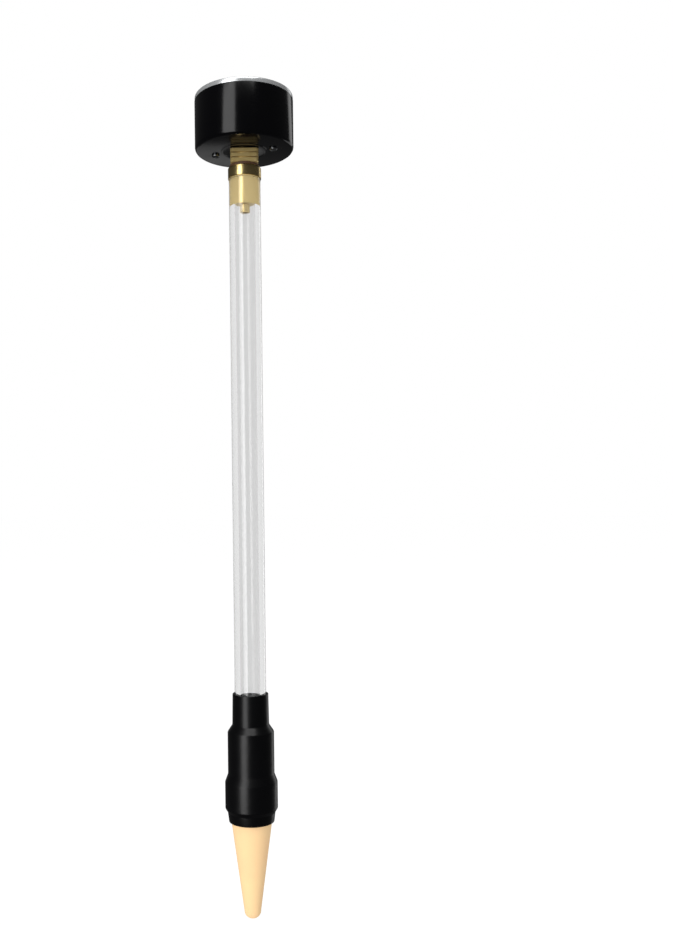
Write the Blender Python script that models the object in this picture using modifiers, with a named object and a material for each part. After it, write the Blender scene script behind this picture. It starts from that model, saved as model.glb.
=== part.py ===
"""A soil tensiometer: a vacuum gauge on a clear water tube with a porous ceramic cone.

The cone stands in the soil and lets water through. The tube is full of water, and the
gauge on top reads the suction of dry soil. +Z is up, the cone's tip is the origin, and
the dial's six o'clock points towards -Y. Sizes are in millimetres until a mesh is made.
"""

import math

import bmesh
import bpy
from mathutils import Matrix, Vector

MM = 0.001

# Clearances
GAP = 0.3  # between faces that rest on each other
RUN = 0.3  # round a pin or shaft in its hole
CUT_PAST = 1.0  # how far a cutter runs past the face it opens

# Ceramic cone, from its tip
CONE_TIP_HEIGHT = 3.6
CONE_TIP_RADIUS = 4.2
CONE_LENGTH = 69.0
CONE_NECK_RADIUS = 10.9
CONE_SLOPE_TOP = 53.5
CONE_FLANGE_BOTTOM = 55.5
CONE_FLANGE_WALL = 2.8
CONE_WALL = 2.5
CONE_FLOOR = 5.0
SPIGOT_STEP = 1.7  # how much narrower the spigot is than the bush
SPIGOT_LENGTH = 10.2

# Coupling bush between the cone and the tube
GASKET_THICKNESS = 0.9
GASKET_INSET = 0.1  # from the cone's mouth and from the bush's side
BUSH_LENGTH = 25.5
BUSH_WALL = 1.7
BUSH_CHAMFER = 1.0
TUBE_SEAT_DEPTH = 22.0

# Gauge thread, tube and the adapter that joins them
THREAD_RADIUS = 3.86
THREAD_LENGTH = 9.3
INSERT_WALL = 0.54
TUBE_WALL = 3.0
TUBE_LENGTH = 300.4
INSERT_LENGTH = 13.7
NIPPLE_RADIUS = 2.4
NIPPLE_LENGTH = 4.0
NIPPLE_BORE = 1.8
COLLAR_HEIGHT = 5.2
COLLAR_PROUD = 0.4
COLLAR_CHAMFER = 0.4
THREAD_BOTTOM_SPACE = 4.0
WASHER_THICKNESS = 0.8
WASHER_RADIUS = 7.6

# Rubber sleeve over the joint
SLEEVE_BOTTOM = 49.3
SLEEVE_LIP_WALL = 0.6
SLEEVE_WALL = 1.65
SLEEVE_BUSH_WALL = 1.5
SLEEVE_TUBE_WALL = 0.8
SLEEVE_TUBE_LAP = 18.0

# Socket: the brass stem and the frame inside the case
SHANK_FLATS = 14.0
SHANK_CORNER_CUT = 0.6  # turned off the square's corners
SHANK_HEIGHT = 7.0
SHANK_TURN = 17.0  # degrees, of the flats from the dial's upright
GROOVE_WIDTH = 0.5
GROOVE_DEPTH = 0.4  # below the middle of a flat
GROOVE_PLACES = (2.3, 4.7)  # up from the shank's lower face
STEM_BORE = 1.6
SOCKET_NECK_RADIUS = 5.5
BAR_END = 2.7  # of the bar, beyond the back screws
BAR_HALF_WIDTH = 5.0
BAR_THICKNESS = 3.5
BOSS_RADIUS = 4.5
BOSS_HEIGHT = 0.9
WEB_THICKNESS = 3.0
ROOT_BLOCK_LEFT = -9.5
ROOT_BLOCK_RIGHT = 6.0
ROOT_BLOCK_FRONT = -17.5
ROOT_BLOCK_BACK = -13.2
PASSAGE_RADIUS = 0.7

# Case, bezel and window
CASE_RADIUS = 25.0
CASE_DEPTH = 25.0
CASE_WALL = 0.9
CASE_FLOOR = 1.0
CASE_BACK_FILLET = 1.8
CASE_RING_CLEARANCE = 1.3  # from the shank's corners
CASE_RING_WIDTH = 1.0
CASE_RING_HEIGHT = 0.25
BACK_SCREW_CLEARANCE = 1.7  # from the raised ring to the head
BACK_SCREW_RADIUS = 1.2
BACK_SCREW_HEAD = 2.0
BEZEL_SKIRT_GAP = 0.4
BEZEL_SKIRT_WALL = 0.75
BEZEL_SKIRT_DEPTH = 5.2
BEZEL_HEIGHT = 2.4
BEZEL_WIDTH = 4.2
BEZEL_LIP = 0.5
BEZEL_INSET = 0.1
WINDOW_THICKNESS = 2.3
WINDOW_EDGE_GAP = 0.35
SEAL_WIDTH = 1.6

# Dial and pointer
DIAL_DROP = 8.5  # from the case's rim down to the dial's back
DIAL_THICKNESS = 0.5
DIAL_EDGE = 0.8  # how far the dial stops short of the window's edge
DIAL_SCREW_PLACE = (4.6, -14.8)
DIAL_SCREW_RADIUS = 0.75
DIAL_SCREW_HEAD = 1.6
DIAL_HOLE = 1.5
POINTER_REST = -45.0  # degrees, at the zero mark
POINTER_MARGIN = 4.2  # from the needle's end to the dial's edge
POINTER_RISE = 2.0  # above the dial's face
POINTER_THICKNESS = 0.3
POINTER_TAIL = 8.6
POINTER_TAIL_HALF_ANGLE = 21.0
HUB_RADIUS = 3.0
HUB_RISE = 1.2  # above the dial's face
HUB_LENGTH = 1.2
CAP_RADIUS = 2.4
CAP_HEIGHT = 1.2

# Bourdon tube, a C from the root block clockwise round to its free tip
BOURDON_RADIUS = 16.5
BOURDON_WIDTH = 2.4
BOURDON_HEIGHT = 7.0
BOURDON_WALL = 0.35
BOURDON_MIDDLE = 11.5
BOURDON_ROOT_ANGLE = 244.5
BOURDON_TIP_ANGLE = -15.0
TIP_BLOCK_LENGTH = 2.6
TIP_PIN_RADIUS_OUT = 13.0
TIP_PIN_ANGLE = -20.0

# Movement: two plates on pillars, with the geared sector and the pinion between them
GEAR_MODULE = 0.18
PINION_TEETH = 12
SECTOR_WHEEL_TEETH = 90  # the whole wheel that the sector is cut from
SECTOR_TEETH = 12
TOOTH_PLAY = 0.07
SECTOR_PIVOT_ANGLE = -60.642  # from the pinion to the sector's arbor
TAIL_RADIUS = 3.0
TAIL_ANGLE = -70.0
PLATE_THICKNESS = 1.0
PLATE_LOW = (-8.6, -11.4)
PLATE_HIGH = (9.2, 4.6)
PLATE_CORNER = 2.0
BOTTOM_PLATE_LEVEL = 6.0
PLATE_SPACE = 5.2
PILLAR_PLACES = {"left": (-6.4, -8.4), "right": (7.4, 2.4)}
PILLAR_RADIUS = 1.7
PLATE_SCREW_RADIUS = 0.8
PLATE_SCREW_HEAD = 1.7
PLATE_SCREW_DEPTH = 2.2
SECTOR_LEVEL = 8.0
SECTOR_THICKNESS = 1.0
SECTOR_HUB = 2.0
SECTOR_ARBOR = 0.7
PINION_ARBOR = 0.5
PINION_LEVEL = 7.6
PINION_LENGTH = 1.8
LINK_THICKNESS = 0.6
LINK_EYE = 1.2
LINK_PIN = 0.4
LINK_PIN_HEAD = 0.9
HAIRSPRING_LEVEL = 10.4
HAIRSPRING_HEIGHT = 0.8
HAIRSPRING_STRIP = 0.15
HAIRSPRING_TURNS = 4.5
HAIRSPRING_PITCH = 0.75
COLLET_RADIUS = 1.5
STUD_RADIUS = 0.5

# How finely round shapes are cut
FINE = 40
MEDIUM = 32
COARSE = 16
BOURDON_STEPS = 24
SPRING_STEPS = 14  # in each turn of the hairspring


# Places worked out from the sizes above, from the cone's tip upwards
tube_bore = THREAD_RADIUS + RUN + INSERT_WALL + GAP
tube_radius = tube_bore + TUBE_WALL
gasket_bottom = CONE_LENGTH + GAP
bush_shoulder = gasket_bottom + GASKET_THICKNESS + GAP
bush_top = bush_shoulder + BUSH_LENGTH
bush_radius = tube_radius + GAP + BUSH_WALL
spigot_radius = bush_radius - SPIGOT_STEP
cone_mouth = spigot_radius + RUN
cone_flange = cone_mouth + CONE_FLANGE_WALL
spigot_bottom = bush_shoulder - SPIGOT_LENGTH
tube_seat = bush_top - TUBE_SEAT_DEPTH
tube_bottom = tube_seat + GAP
tube_top = tube_bottom + TUBE_LENGTH
collar_bottom = tube_top + GAP
collar_top = collar_bottom + COLLAR_HEIGHT
washer_bottom = collar_top + GAP
shank_bottom = washer_bottom + WASHER_THICKNESS + GAP
case_back = shank_bottom + SHANK_HEIGHT + GAP

# Places in the gauge, from the case's back face
bar_level = CASE_FLOOR + GAP
bar_top = bar_level + BAR_THICKNESS
case_inner = CASE_RADIUS - CASE_WALL
shank_corner = SHANK_FLATS / 2 * math.sqrt(2) - SHANK_CORNER_CUT
case_ring_inner = shank_corner + CASE_RING_CLEARANCE
case_ring_outer = case_ring_inner + CASE_RING_WIDTH
back_screw_place = case_ring_outer + BACK_SCREW_CLEARANCE + BACK_SCREW_HEAD
bar_half_length = back_screw_place + BAR_END
skirt_outer = case_inner - BEZEL_SKIRT_GAP
skirt_inner = skirt_outer - BEZEL_SKIRT_WALL
window_radius = skirt_inner - WINDOW_EDGE_GAP
bezel_bottom = CASE_DEPTH + GAP
bezel_top = bezel_bottom + BEZEL_HEIGHT
window_top = bezel_bottom - 1.5
window_bottom = window_top - WINDOW_THICKNESS
dial_radius = window_radius - DIAL_EDGE
dial_level = CASE_DEPTH - DIAL_DROP
dial_top = dial_level + DIAL_THICKNESS
hub_bottom = dial_top + HUB_RISE
hub_top = hub_bottom + HUB_LENGTH
root_block_top = dial_level - GAP
top_plate_level = BOTTOM_PLATE_LEVEL + PLATE_THICKNESS + PLATE_SPACE
link_level = SECTOR_LEVEL + SECTOR_THICKNESS + GAP
lug_level = link_level + LINK_THICKNESS + GAP


def polar(radius, degrees):
    angle = math.radians(degrees)
    return (radius * math.cos(angle), radius * math.sin(angle))


def arc(centre, radius, start, end, steps):
    """Points on a circle from one angle to another, in degrees."""
    turn = (end - start) / steps
    points = (polar(radius, start + turn * i) for i in range(steps + 1))
    return [(centre[0] + x, centre[1] + y) for x, y in points]


def circle(centre, radius, segments=COARSE):
    start = 180 / segments  # no corner on an axis, where a flat face's own edges run
    return arc(centre, radius, start, start + 360, segments)[:-1]


pinion_pitch_radius = GEAR_MODULE * PINION_TEETH / 2
sector_pitch_radius = GEAR_MODULE * SECTOR_WHEEL_TEETH / 2
sector_pivot = polar(pinion_pitch_radius + sector_pitch_radius, SECTOR_PIVOT_ANGLE)
tail_pin = tuple(p + q for p, q in zip(sector_pivot, polar(TAIL_RADIUS, TAIL_ANGLE)))
tip_pin = polar(TIP_PIN_RADIUS_OUT, TIP_PIN_ANGLE)


# The scene and its collections


def clear_scene():
    for thing in list(bpy.data.objects):
        bpy.data.objects.remove(thing, do_unlink=True)


def new_collection(name):
    collection = bpy.data.collections.new(name)
    bpy.context.scene.collection.children.link(collection)
    return collection


clear_scene()
PARTS = new_collection("soil_tensiometer")
CUTTERS = new_collection("cutters")


def new_material(name, colour, roughness, metallic=0.0, alpha=1.0):
    material = bpy.data.materials.new(name)
    material.use_nodes = True
    shader = material.node_tree.nodes["Principled BSDF"]
    shader.inputs["Base Color"].default_value = (*colour, 1.0)
    shader.inputs["Roughness"].default_value = roughness
    shader.inputs["Metallic"].default_value = metallic
    shader.inputs["Alpha"].default_value = alpha
    return material


CERAMIC = new_material("unglazed_ceramic", (0.90, 0.76, 0.55), 0.85)
RUBBER = new_material("black_rubber", (0.012, 0.012, 0.014), 0.5)
ACRYLIC = new_material("clear_acrylic", (0.92, 0.94, 0.95), 0.08, alpha=0.3)
GREY_PLASTIC = new_material("grey_plastic", (0.55, 0.56, 0.57), 0.45)
BRASS = new_material("brass", (0.72, 0.53, 0.20), 0.25, 1.0)
BRONZE = new_material("phosphor_bronze", (0.62, 0.36, 0.18), 0.35, 1.0)
STEEL = new_material("bright_steel", (0.62, 0.62, 0.61), 0.18, 1.0)
BLACK_PAINT = new_material("black_painted_steel", (0.010, 0.010, 0.011), 0.3)
BLACK_ALUMINIUM = new_material("black_aluminium", (0.014, 0.014, 0.015), 0.45)
DIAL_WHITE = new_material("white_dial", (0.86, 0.86, 0.85), 0.5)
GLASS = new_material("window_glass", (0.95, 0.97, 0.97), 0.03, alpha=0.2)
FIBRE = new_material("vulcanised_fibre", (0.22, 0.11, 0.05), 0.6)


def empty(name, place, parent=None):
    """A frame that pieces hang on, at a place in millimetres."""
    frame = bpy.data.objects.new(name, None)
    frame.location = Vector(place) * MM
    frame.parent = parent
    PARTS.objects.link(frame)
    return frame


GAUGE = empty("gauge_frame", (0, 0, case_back))


def place(thing, material=None, parent=None, at=(0, 0, 0), turn=0.0):
    """Puts a piece in the parts, or a cutter, which has no material, with the cutters."""
    thing.location = Vector(at) * MM
    thing.rotation_euler = (0, 0, math.radians(turn))
    thing.parent = parent
    if material is None:
        CUTTERS.objects.link(thing)
        thing.hide_render = True
        thing.display_type = "WIRE"
    else:
        PARTS.objects.link(thing)
        thing.data.materials.append(material)
    return thing


# Ways of making a shape


def turned(name, profile, *, steps=MEDIUM, **where):
    """Turns (radius, height) points, which run down the outside, into a round piece."""
    mesh = bpy.data.meshes.new(name)
    points = [(radius * MM, 0, height * MM) for radius, height in profile]
    edges = [(i, i + 1) for i in range(len(points) - 1)]
    if profile[0][0] > 0:
        edges.append((len(points) - 1, 0))
    mesh.from_pydata(points, edges, [])
    thing = place(bpy.data.objects.new(name, mesh), **where)
    screw = thing.modifiers.new("turn", "SCREW")
    screw.steps = screw.render_steps = steps
    screw.use_merge_vertices = True
    screw.merge_threshold = 1e-6
    screw.use_smooth_shade = True
    return thing


def cylinder(name, radius, bottom, top, **where):
    profile = [(0, top), (radius, top), (radius, bottom), (0, bottom)]
    return turned(name, profile, **where)


def ring(name, inner, outer, bottom, top, **where):
    profile = [(outer, top), (outer, bottom), (inner, bottom), (inner, top)]
    return turned(name, profile, **where)


def box(name, low, high, **where):
    """A box between two corners."""
    mesh = bpy.data.meshes.new(name)
    low, high = Vector(low) * MM, Vector(high) * MM
    form = bmesh.new()
    matrix = Matrix.Translation((low + high) / 2) @ Matrix.Diagonal((*(high - low), 1))
    bmesh.ops.create_cube(form, size=1, matrix=matrix)
    form.to_mesh(mesh)
    form.free()
    return place(bpy.data.objects.new(name, mesh), **where)


def plate(name, outlines, bottom, top, *, at=(0, 0), **where):
    """A flat piece of even thickness. The outlines after the first are its holes."""
    curve = bpy.data.curves.new(name, "CURVE")
    curve.dimensions = "2D"
    curve.fill_mode = "BOTH"
    curve.extrude = (top - bottom) / 2 * MM
    for outline in outlines:
        spline = curve.splines.new("POLY")
        spline.points.add(len(outline) - 1)
        for point, (x, y) in zip(spline.points, outline):
            point.co = (x * MM, y * MM, 0, 1)
        spline.use_cyclic_u = True
    place_at = (at[0], at[1], (top + bottom) / 2)
    guide = place(bpy.data.objects.new(name + "_outline", curve), at=place_at, parent=where.get("parent"))
    return made_mesh(name, guide, place_at, **where)


def made_mesh(name, guide, at, **where):
    """Turns a curve into a mesh with its caps welded on, so that it can be cut and joined."""
    graph = bpy.context.evaluated_depsgraph_get()
    mesh = bpy.data.meshes.new_from_object(guide.evaluated_get(graph))
    mesh.name = name
    form = bmesh.new()
    form.from_mesh(mesh)
    bmesh.ops.remove_doubles(form, verts=form.verts, dist=1e-7)
    form.to_mesh(mesh)
    form.free()
    mesh.materials.clear()
    bpy.data.objects.remove(guide, do_unlink=True)
    return place(bpy.data.objects.new(name, mesh), at=at, **where)


def cross_bore(name, start, end, radius, **where):
    """A cylinder between two points, for a drilled passage."""
    start, end = Vector(start) * MM, Vector(end) * MM
    mesh = bpy.data.meshes.new(name)
    form = bmesh.new()
    turn = (end - start).to_track_quat("Z", "Y").to_matrix().to_4x4()
    bmesh.ops.create_cone(
        form,
        cap_ends=True,
        segments=12,
        radius1=radius * MM,
        radius2=radius * MM,
        depth=(end - start).length,
        matrix=Matrix.Translation((start + end) / 2) @ turn,
    )
    form.to_mesh(mesh)
    form.free()
    return place(bpy.data.objects.new(name, mesh), **where)


def combine(piece, operation, *others):
    """Joins, cuts or trims a piece with others, in the order given."""
    for other in others:
        boolean = piece.modifiers.new(operation.lower(), "BOOLEAN")
        boolean.operation = operation
        boolean.object = other
        boolean.solver = "EXACT"


def capsule(start, end, start_radius, end_radius, steps=10):
    """The outline of a bar with round ends."""
    heading = math.degrees(math.atan2(end[1] - start[1], end[0] - start[0]))
    far = arc(end, end_radius, heading - 90, heading + 90, steps)
    near = arc(start, start_radius, heading + 90, heading + 270, steps)
    return far + near


def rounded_rectangle(low, high, corner, steps=4):
    corners = [
        (high[0] - corner, high[1] - corner, 0),
        (low[0] + corner, high[1] - corner, 90),
        (low[0] + corner, low[1] + corner, 180),
        (high[0] - corner, low[1] + corner, 270),
    ]
    points = []
    for x, y, start in corners:
        points += arc((x, y), corner, start, start + 90, steps)
    return points


# The water column: cone, coupling, sleeve and tube


def make_ceramic_cone():
    """Hollow, with a blunt tip, a straight slope and a flange that the sleeve grips."""
    cavity = [
        (0, CONE_FLOOR),
        (CONE_TIP_RADIUS - CONE_WALL + 0.4, CONE_FLOOR + 1.0),
        (CONE_NECK_RADIUS - CONE_WALL, CONE_SLOPE_TOP - 3),
        (cone_mouth, spigot_bottom - 2),
        (cone_mouth, CONE_LENGTH),
    ]
    outside = [
        (cone_flange, CONE_LENGTH),
        (cone_flange, CONE_FLANGE_BOTTOM),
        (CONE_NECK_RADIUS, CONE_SLOPE_TOP),
    ]
    tip = [
        (CONE_TIP_RADIUS * math.sin(angle), CONE_TIP_HEIGHT * (1 - math.cos(angle)))
        for angle in (math.radians(15 * step) for step in range(6, -1, -1))
    ]
    turned("ceramic_cone", cavity + outside + tip, steps=FINE, material=CERAMIC)


def make_coupling():
    """A bush with a spigot in the cone and a seat for the tube, on a rubber gasket."""
    gasket_inner = cone_mouth + GASKET_INSET
    gasket_top = gasket_bottom + GASKET_THICKNESS
    gasket_outer = bush_radius - GASKET_INSET
    ring("cone_gasket", gasket_inner, gasket_outer, gasket_bottom, gasket_top, material=RUBBER)
    seat = tube_radius + GAP
    profile = [
        (bush_radius - BUSH_CHAMFER, bush_top),
        (bush_radius, bush_top - BUSH_CHAMFER),
        (bush_radius, bush_shoulder),
        (spigot_radius, bush_shoulder),
        (spigot_radius, spigot_bottom),
        (tube_bore, spigot_bottom),
        (tube_bore, tube_seat),
        (seat, tube_seat),
        (seat, bush_top),
    ]
    turned("coupling_bush", profile, material=GREY_PLASTIC)


def make_rubber_sleeve():
    """Shrunk over the cone's flange, the bush and the foot of the tube."""
    over_neck = CONE_NECK_RADIUS + GAP
    over_slope = CONE_NECK_RADIUS + 0.1
    over_flange = cone_flange + GAP
    over_bush = bush_radius + GAP
    over_tube = tube_radius + GAP
    top = bush_top + SLEEVE_TUBE_LAP
    profile = [
        (over_tube + SLEEVE_TUBE_WALL, top),
        (over_tube + SLEEVE_TUBE_WALL + 0.4, bush_top + 2.2),
        (over_bush + SLEEVE_BUSH_WALL, bush_top - 1.2),
        (over_bush + SLEEVE_BUSH_WALL, bush_shoulder + 3),
        (over_flange + SLEEVE_WALL, CONE_LENGTH + 0.5),
        (over_flange + SLEEVE_WALL, CONE_FLANGE_BOTTOM + 0.5),
        (over_neck + SLEEVE_LIP_WALL + 0.3, CONE_FLANGE_BOTTOM - 1.3),
        (over_slope + SLEEVE_LIP_WALL, SLEEVE_BOTTOM),
        (over_slope, SLEEVE_BOTTOM),
        (over_neck, CONE_SLOPE_TOP - 0.5),
        (over_flange, CONE_FLANGE_BOTTOM - 0.6),
        (over_flange, CONE_LENGTH + 0.4),
        (over_bush, bush_shoulder),
        (over_bush, bush_top - 0.4),
        (over_tube, bush_top + 1.6),
        (over_tube, top),
    ]
    turned("rubber_sleeve", profile, steps=FINE, material=RUBBER)


def make_tube_and_adapter():
    """The clear tube, and the brass collar that its top is sealed into."""
    ring("clear_tube", tube_bore, tube_radius, tube_bottom, tube_top, material=ACRYLIC)
    collar = tube_radius + COLLAR_PROUD
    insert = tube_bore - GAP
    insert_bottom = tube_top - INSERT_LENGTH
    nipple_bottom = insert_bottom - NIPPLE_LENGTH
    thread_hole = THREAD_RADIUS + RUN
    thread_hole_bottom = shank_bottom - THREAD_LENGTH - THREAD_BOTTOM_SPACE
    profile = [
        (collar - COLLAR_CHAMFER, collar_top),
        (collar, collar_top - COLLAR_CHAMFER),
        (collar, collar_bottom),
        (insert, collar_bottom),
        (insert, insert_bottom),
        (NIPPLE_RADIUS, insert_bottom),
        (NIPPLE_RADIUS, nipple_bottom),
        (NIPPLE_BORE, nipple_bottom),
        (NIPPLE_BORE, thread_hole_bottom),
        (thread_hole, thread_hole_bottom),
        (thread_hole, collar_top),
    ]
    turned("tube_adapter", profile, material=BRASS)
    washer_top = washer_bottom + WASHER_THICKNESS
    ring("stem_washer", thread_hole, WASHER_RADIUS, washer_bottom, washer_top, material=FIBRE)


# The gauge's frame, in heights from the case's back face


def make_socket():
    """One brass piece: thread, square shank, neck, bar for the screws and root block."""
    hang = {"parent": GAUGE}
    shank_low = -GAP - SHANK_HEIGHT
    thread_low = shank_low - THREAD_LENGTH
    half = SHANK_FLATS / 2
    low, high = (-half, -half, shank_low), (half, half, -GAP)
    socket = box("gauge_socket", low, high, material=BRASS)
    # The turn is in the mesh, because what is cut from the shank keeps to the gauge's own axes.
    socket.data.transform(Matrix.Rotation(math.radians(SHANK_TURN), 4, "Z"))
    socket.parent = GAUGE
    corners = cylinder("shank_corners", shank_corner, shank_low - 1, 1, steps=FINE, **hang)
    combine(socket, "INTERSECT", corners)
    for number, height in enumerate(GROOVE_PLACES):
        low = shank_low + height - GROOVE_WIDTH / 2
        name = f"shank_groove_{number}"
        groove = ring(name, SHANK_FLATS / 2 - GROOVE_DEPTH, SHANK_FLATS, low, low + GROOVE_WIDTH, **hang)
        combine(socket, "DIFFERENCE", groove)
    core_profile = [
        (0, bar_top + BOSS_HEIGHT),
        (BOSS_RADIUS, bar_top + BOSS_HEIGHT),
        (BOSS_RADIUS, bar_level + 1),
        (SOCKET_NECK_RADIUS, bar_level + 1),
        (SOCKET_NECK_RADIUS, shank_low + 1),
        (THREAD_RADIUS, shank_low + 1),
        (THREAD_RADIUS, thread_low + 0.5),
        (THREAD_RADIUS - 0.5, thread_low),
        (0, thread_low),
    ]
    core = turned("socket_core", core_profile, **hang)
    straight = bar_half_length - BAR_HALF_WIDTH
    bar_outline = capsule((-straight, 0), (straight, 0), BAR_HALF_WIDTH, BAR_HALF_WIDTH)
    bar = plate("socket_bar", [bar_outline], bar_level, bar_top, **hang)
    web_level = bar_level + 0.3
    web_low = (ROOT_BLOCK_LEFT + 1, ROOT_BLOCK_FRONT + 0.5, web_level)
    web_high = (ROOT_BLOCK_RIGHT - 0.4, 0, web_level + WEB_THICKNESS)
    web = box("socket_web", web_low, web_high, **hang)
    block_low = (ROOT_BLOCK_LEFT, ROOT_BLOCK_FRONT, web_level - 0.2)
    block_high = (ROOT_BLOCK_RIGHT, ROOT_BLOCK_BACK, root_block_top)
    block = box("root_block", block_low, block_high, **hang)
    combine(socket, "UNION", core, bar, web, block)

    passage_level = bar_level + 2.2
    bore = cylinder("stem_bore", STEM_BORE, thread_low - CUT_PAST, passage_level, steps=COARSE, **hang)
    plenum = (-6.4, -15.3)
    along = cross_bore(
        "passage_along", (0, 0, passage_level - 0.9), (*plenum, passage_level - 0.9), PASSAGE_RADIUS, **hang
    )
    up = cross_bore(
        "passage_up", (*plenum, passage_level - 1.2), (*plenum, BOURDON_MIDDLE), PASSAGE_RADIUS + 0.2, **hang
    )
    slot_half = (BOURDON_WIDTH / 2 + RUN, 2.2, BOURDON_HEIGHT / 2 + RUN)
    slot = box(
        "bourdon_slot",
        [-value for value in slot_half],
        slot_half,
        at=(*polar(BOURDON_RADIUS, BOURDON_ROOT_ANGLE - 4.5), BOURDON_MIDDLE),
        turn=BOURDON_ROOT_ANGLE - 4.5,
        **hang,
    )
    cutters = [bore, along, up, slot]
    for side in (-1, 1):
        centre = (side * back_screw_place, 0)
        hole = plate(
            f"bar_hole_{side}",
            [circle(centre, BACK_SCREW_RADIUS + RUN)],
            bar_level - CUT_PAST,
            bar_top + CUT_PAST,
            **hang,
        )
        x, y = DIAL_SCREW_PLACE
        dial_hole = plate(
            f"block_hole_{side}",
            [circle((side * x, y), DIAL_SCREW_RADIUS + RUN)],
            root_block_top - 4,
            root_block_top + CUT_PAST,
            **hang,
        )
        cutters += [hole, dial_hole]
    for name, centre in PILLAR_PLACES.items():
        cutters.append(
            plate(
                f"plate_screw_hole_{name}",
                [circle(centre, PLATE_SCREW_RADIUS + RUN)],
                bar_top - PLATE_SCREW_DEPTH - GAP,
                bar_top + CUT_PAST,
                **hang,
            )
        )
    combine(socket, "DIFFERENCE", *cutters)

    restrictor = [
        (STEM_BORE - RUN, thread_low + 5),
        (STEM_BORE - RUN, thread_low + 1),
        (0.4, thread_low + 1),
        (0.4, thread_low + 5),
    ]
    turned("restrictor_screw", restrictor, steps=COARSE, material=BRASS, **hang)


def make_case():
    """A drawn steel cup with a rounded back edge and a raised ring round the stem."""
    hang = {"parent": GAUGE}
    fillet_centre = (CASE_RADIUS - CASE_BACK_FILLET, CASE_BACK_FILLET)
    profile = [(CASE_RADIUS, CASE_DEPTH)]
    profile += arc(fillet_centre, CASE_BACK_FILLET, 0, -90, 5)
    profile += [
        (case_ring_outer, 0),
        (case_ring_outer, -CASE_RING_HEIGHT),
        (case_ring_inner, -CASE_RING_HEIGHT),
        (case_ring_inner, 0),
        (SOCKET_NECK_RADIUS + GAP, 0),
        (SOCKET_NECK_RADIUS + GAP, CASE_FLOOR),
        (case_inner - 1, CASE_FLOOR),
        (case_inner, CASE_FLOOR + 1),
        (case_inner, CASE_DEPTH),
    ]
    case = turned("case", profile, steps=FINE, material=BLACK_PAINT, **hang)
    for name, side in (("left", -1), ("right", 1)):
        x = side * back_screw_place
        hole = plate(
            f"case_hole_{name}",
            [circle((x, 0), BACK_SCREW_RADIUS + RUN)],
            -CUT_PAST,
            CASE_FLOOR + CUT_PAST,
            **hang,
        )
        combine(case, "DIFFERENCE", hole)
        profile = [
            (0, bar_top - 0.6),
            (BACK_SCREW_RADIUS, bar_top - 0.6),
            (BACK_SCREW_RADIUS, -GAP),
            (BACK_SCREW_HEAD, -GAP),
            (BACK_SCREW_HEAD, -GAP - 0.7),
            (BACK_SCREW_HEAD - 0.5, -GAP - 1.1),
            (0, -GAP - 1.1),
        ]
        turned(f"back_screw_{name}", profile, steps=COARSE, material=STEEL, at=(x, 0, 0), **hang)


def make_bezel_and_window():
    """A rolled steel ring, pushed into the case over the window and its seal."""
    hang = {"parent": GAUGE}
    outer = CASE_RADIUS - BEZEL_INSET
    opening = outer - BEZEL_WIDTH
    lip_bottom = window_top + GAP
    profile = [
        (outer - 0.9, bezel_top),
        (outer - 0.25, bezel_top - 0.5),
        (outer, bezel_top - 1.2),
        (outer, bezel_bottom),
        (skirt_outer, bezel_bottom),
        (skirt_outer, CASE_DEPTH - BEZEL_SKIRT_DEPTH),
        (skirt_inner, CASE_DEPTH - BEZEL_SKIRT_DEPTH),
        (skirt_inner, lip_bottom),
        (opening, lip_bottom),
        (opening, lip_bottom + BEZEL_LIP),
        (outer - 2.3, bezel_top - 0.5),
        (outer - 1.6, bezel_top),
    ]
    turned("bezel_ring", profile, steps=FINE, material=STEEL, **hang)
    cylinder("window", window_radius, window_bottom, window_top, steps=FINE, material=GLASS, **hang)
    seal_inner = window_radius - SEAL_WIDTH
    seal_bottom, seal_top = dial_top + GAP, window_bottom - GAP
    ring("window_seal", seal_inner, window_radius, seal_bottom, seal_top, material=RUBBER, **hang)


def make_dial():
    """A printed plate on the root block, held by two pan head screws."""
    hang = {"parent": GAUGE}
    x, y = DIAL_SCREW_PLACE
    outlines = [circle((0, 0), dial_radius, FINE), circle((0, 0), DIAL_HOLE)]
    outlines += [circle((side * x, y), DIAL_SCREW_RADIUS + RUN) for side in (-1, 1)]
    plate("dial", outlines, dial_level, dial_top, material=DIAL_WHITE, **hang)
    for name, side in (("left", -1), ("right", 1)):
        head = dial_top + GAP
        profile = [
            (0, head + 1),
            (DIAL_SCREW_HEAD - 0.5, head + 1),
            (DIAL_SCREW_HEAD, head + 0.5),
            (DIAL_SCREW_HEAD, head),
            (DIAL_SCREW_RADIUS, head),
            (DIAL_SCREW_RADIUS, root_block_top - 3),
            (0, root_block_top - 3),
        ]
        turned(f"dial_screw_{name}", profile, steps=COARSE, material=STEEL, at=(side * x, y, 0), **hang)


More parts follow.
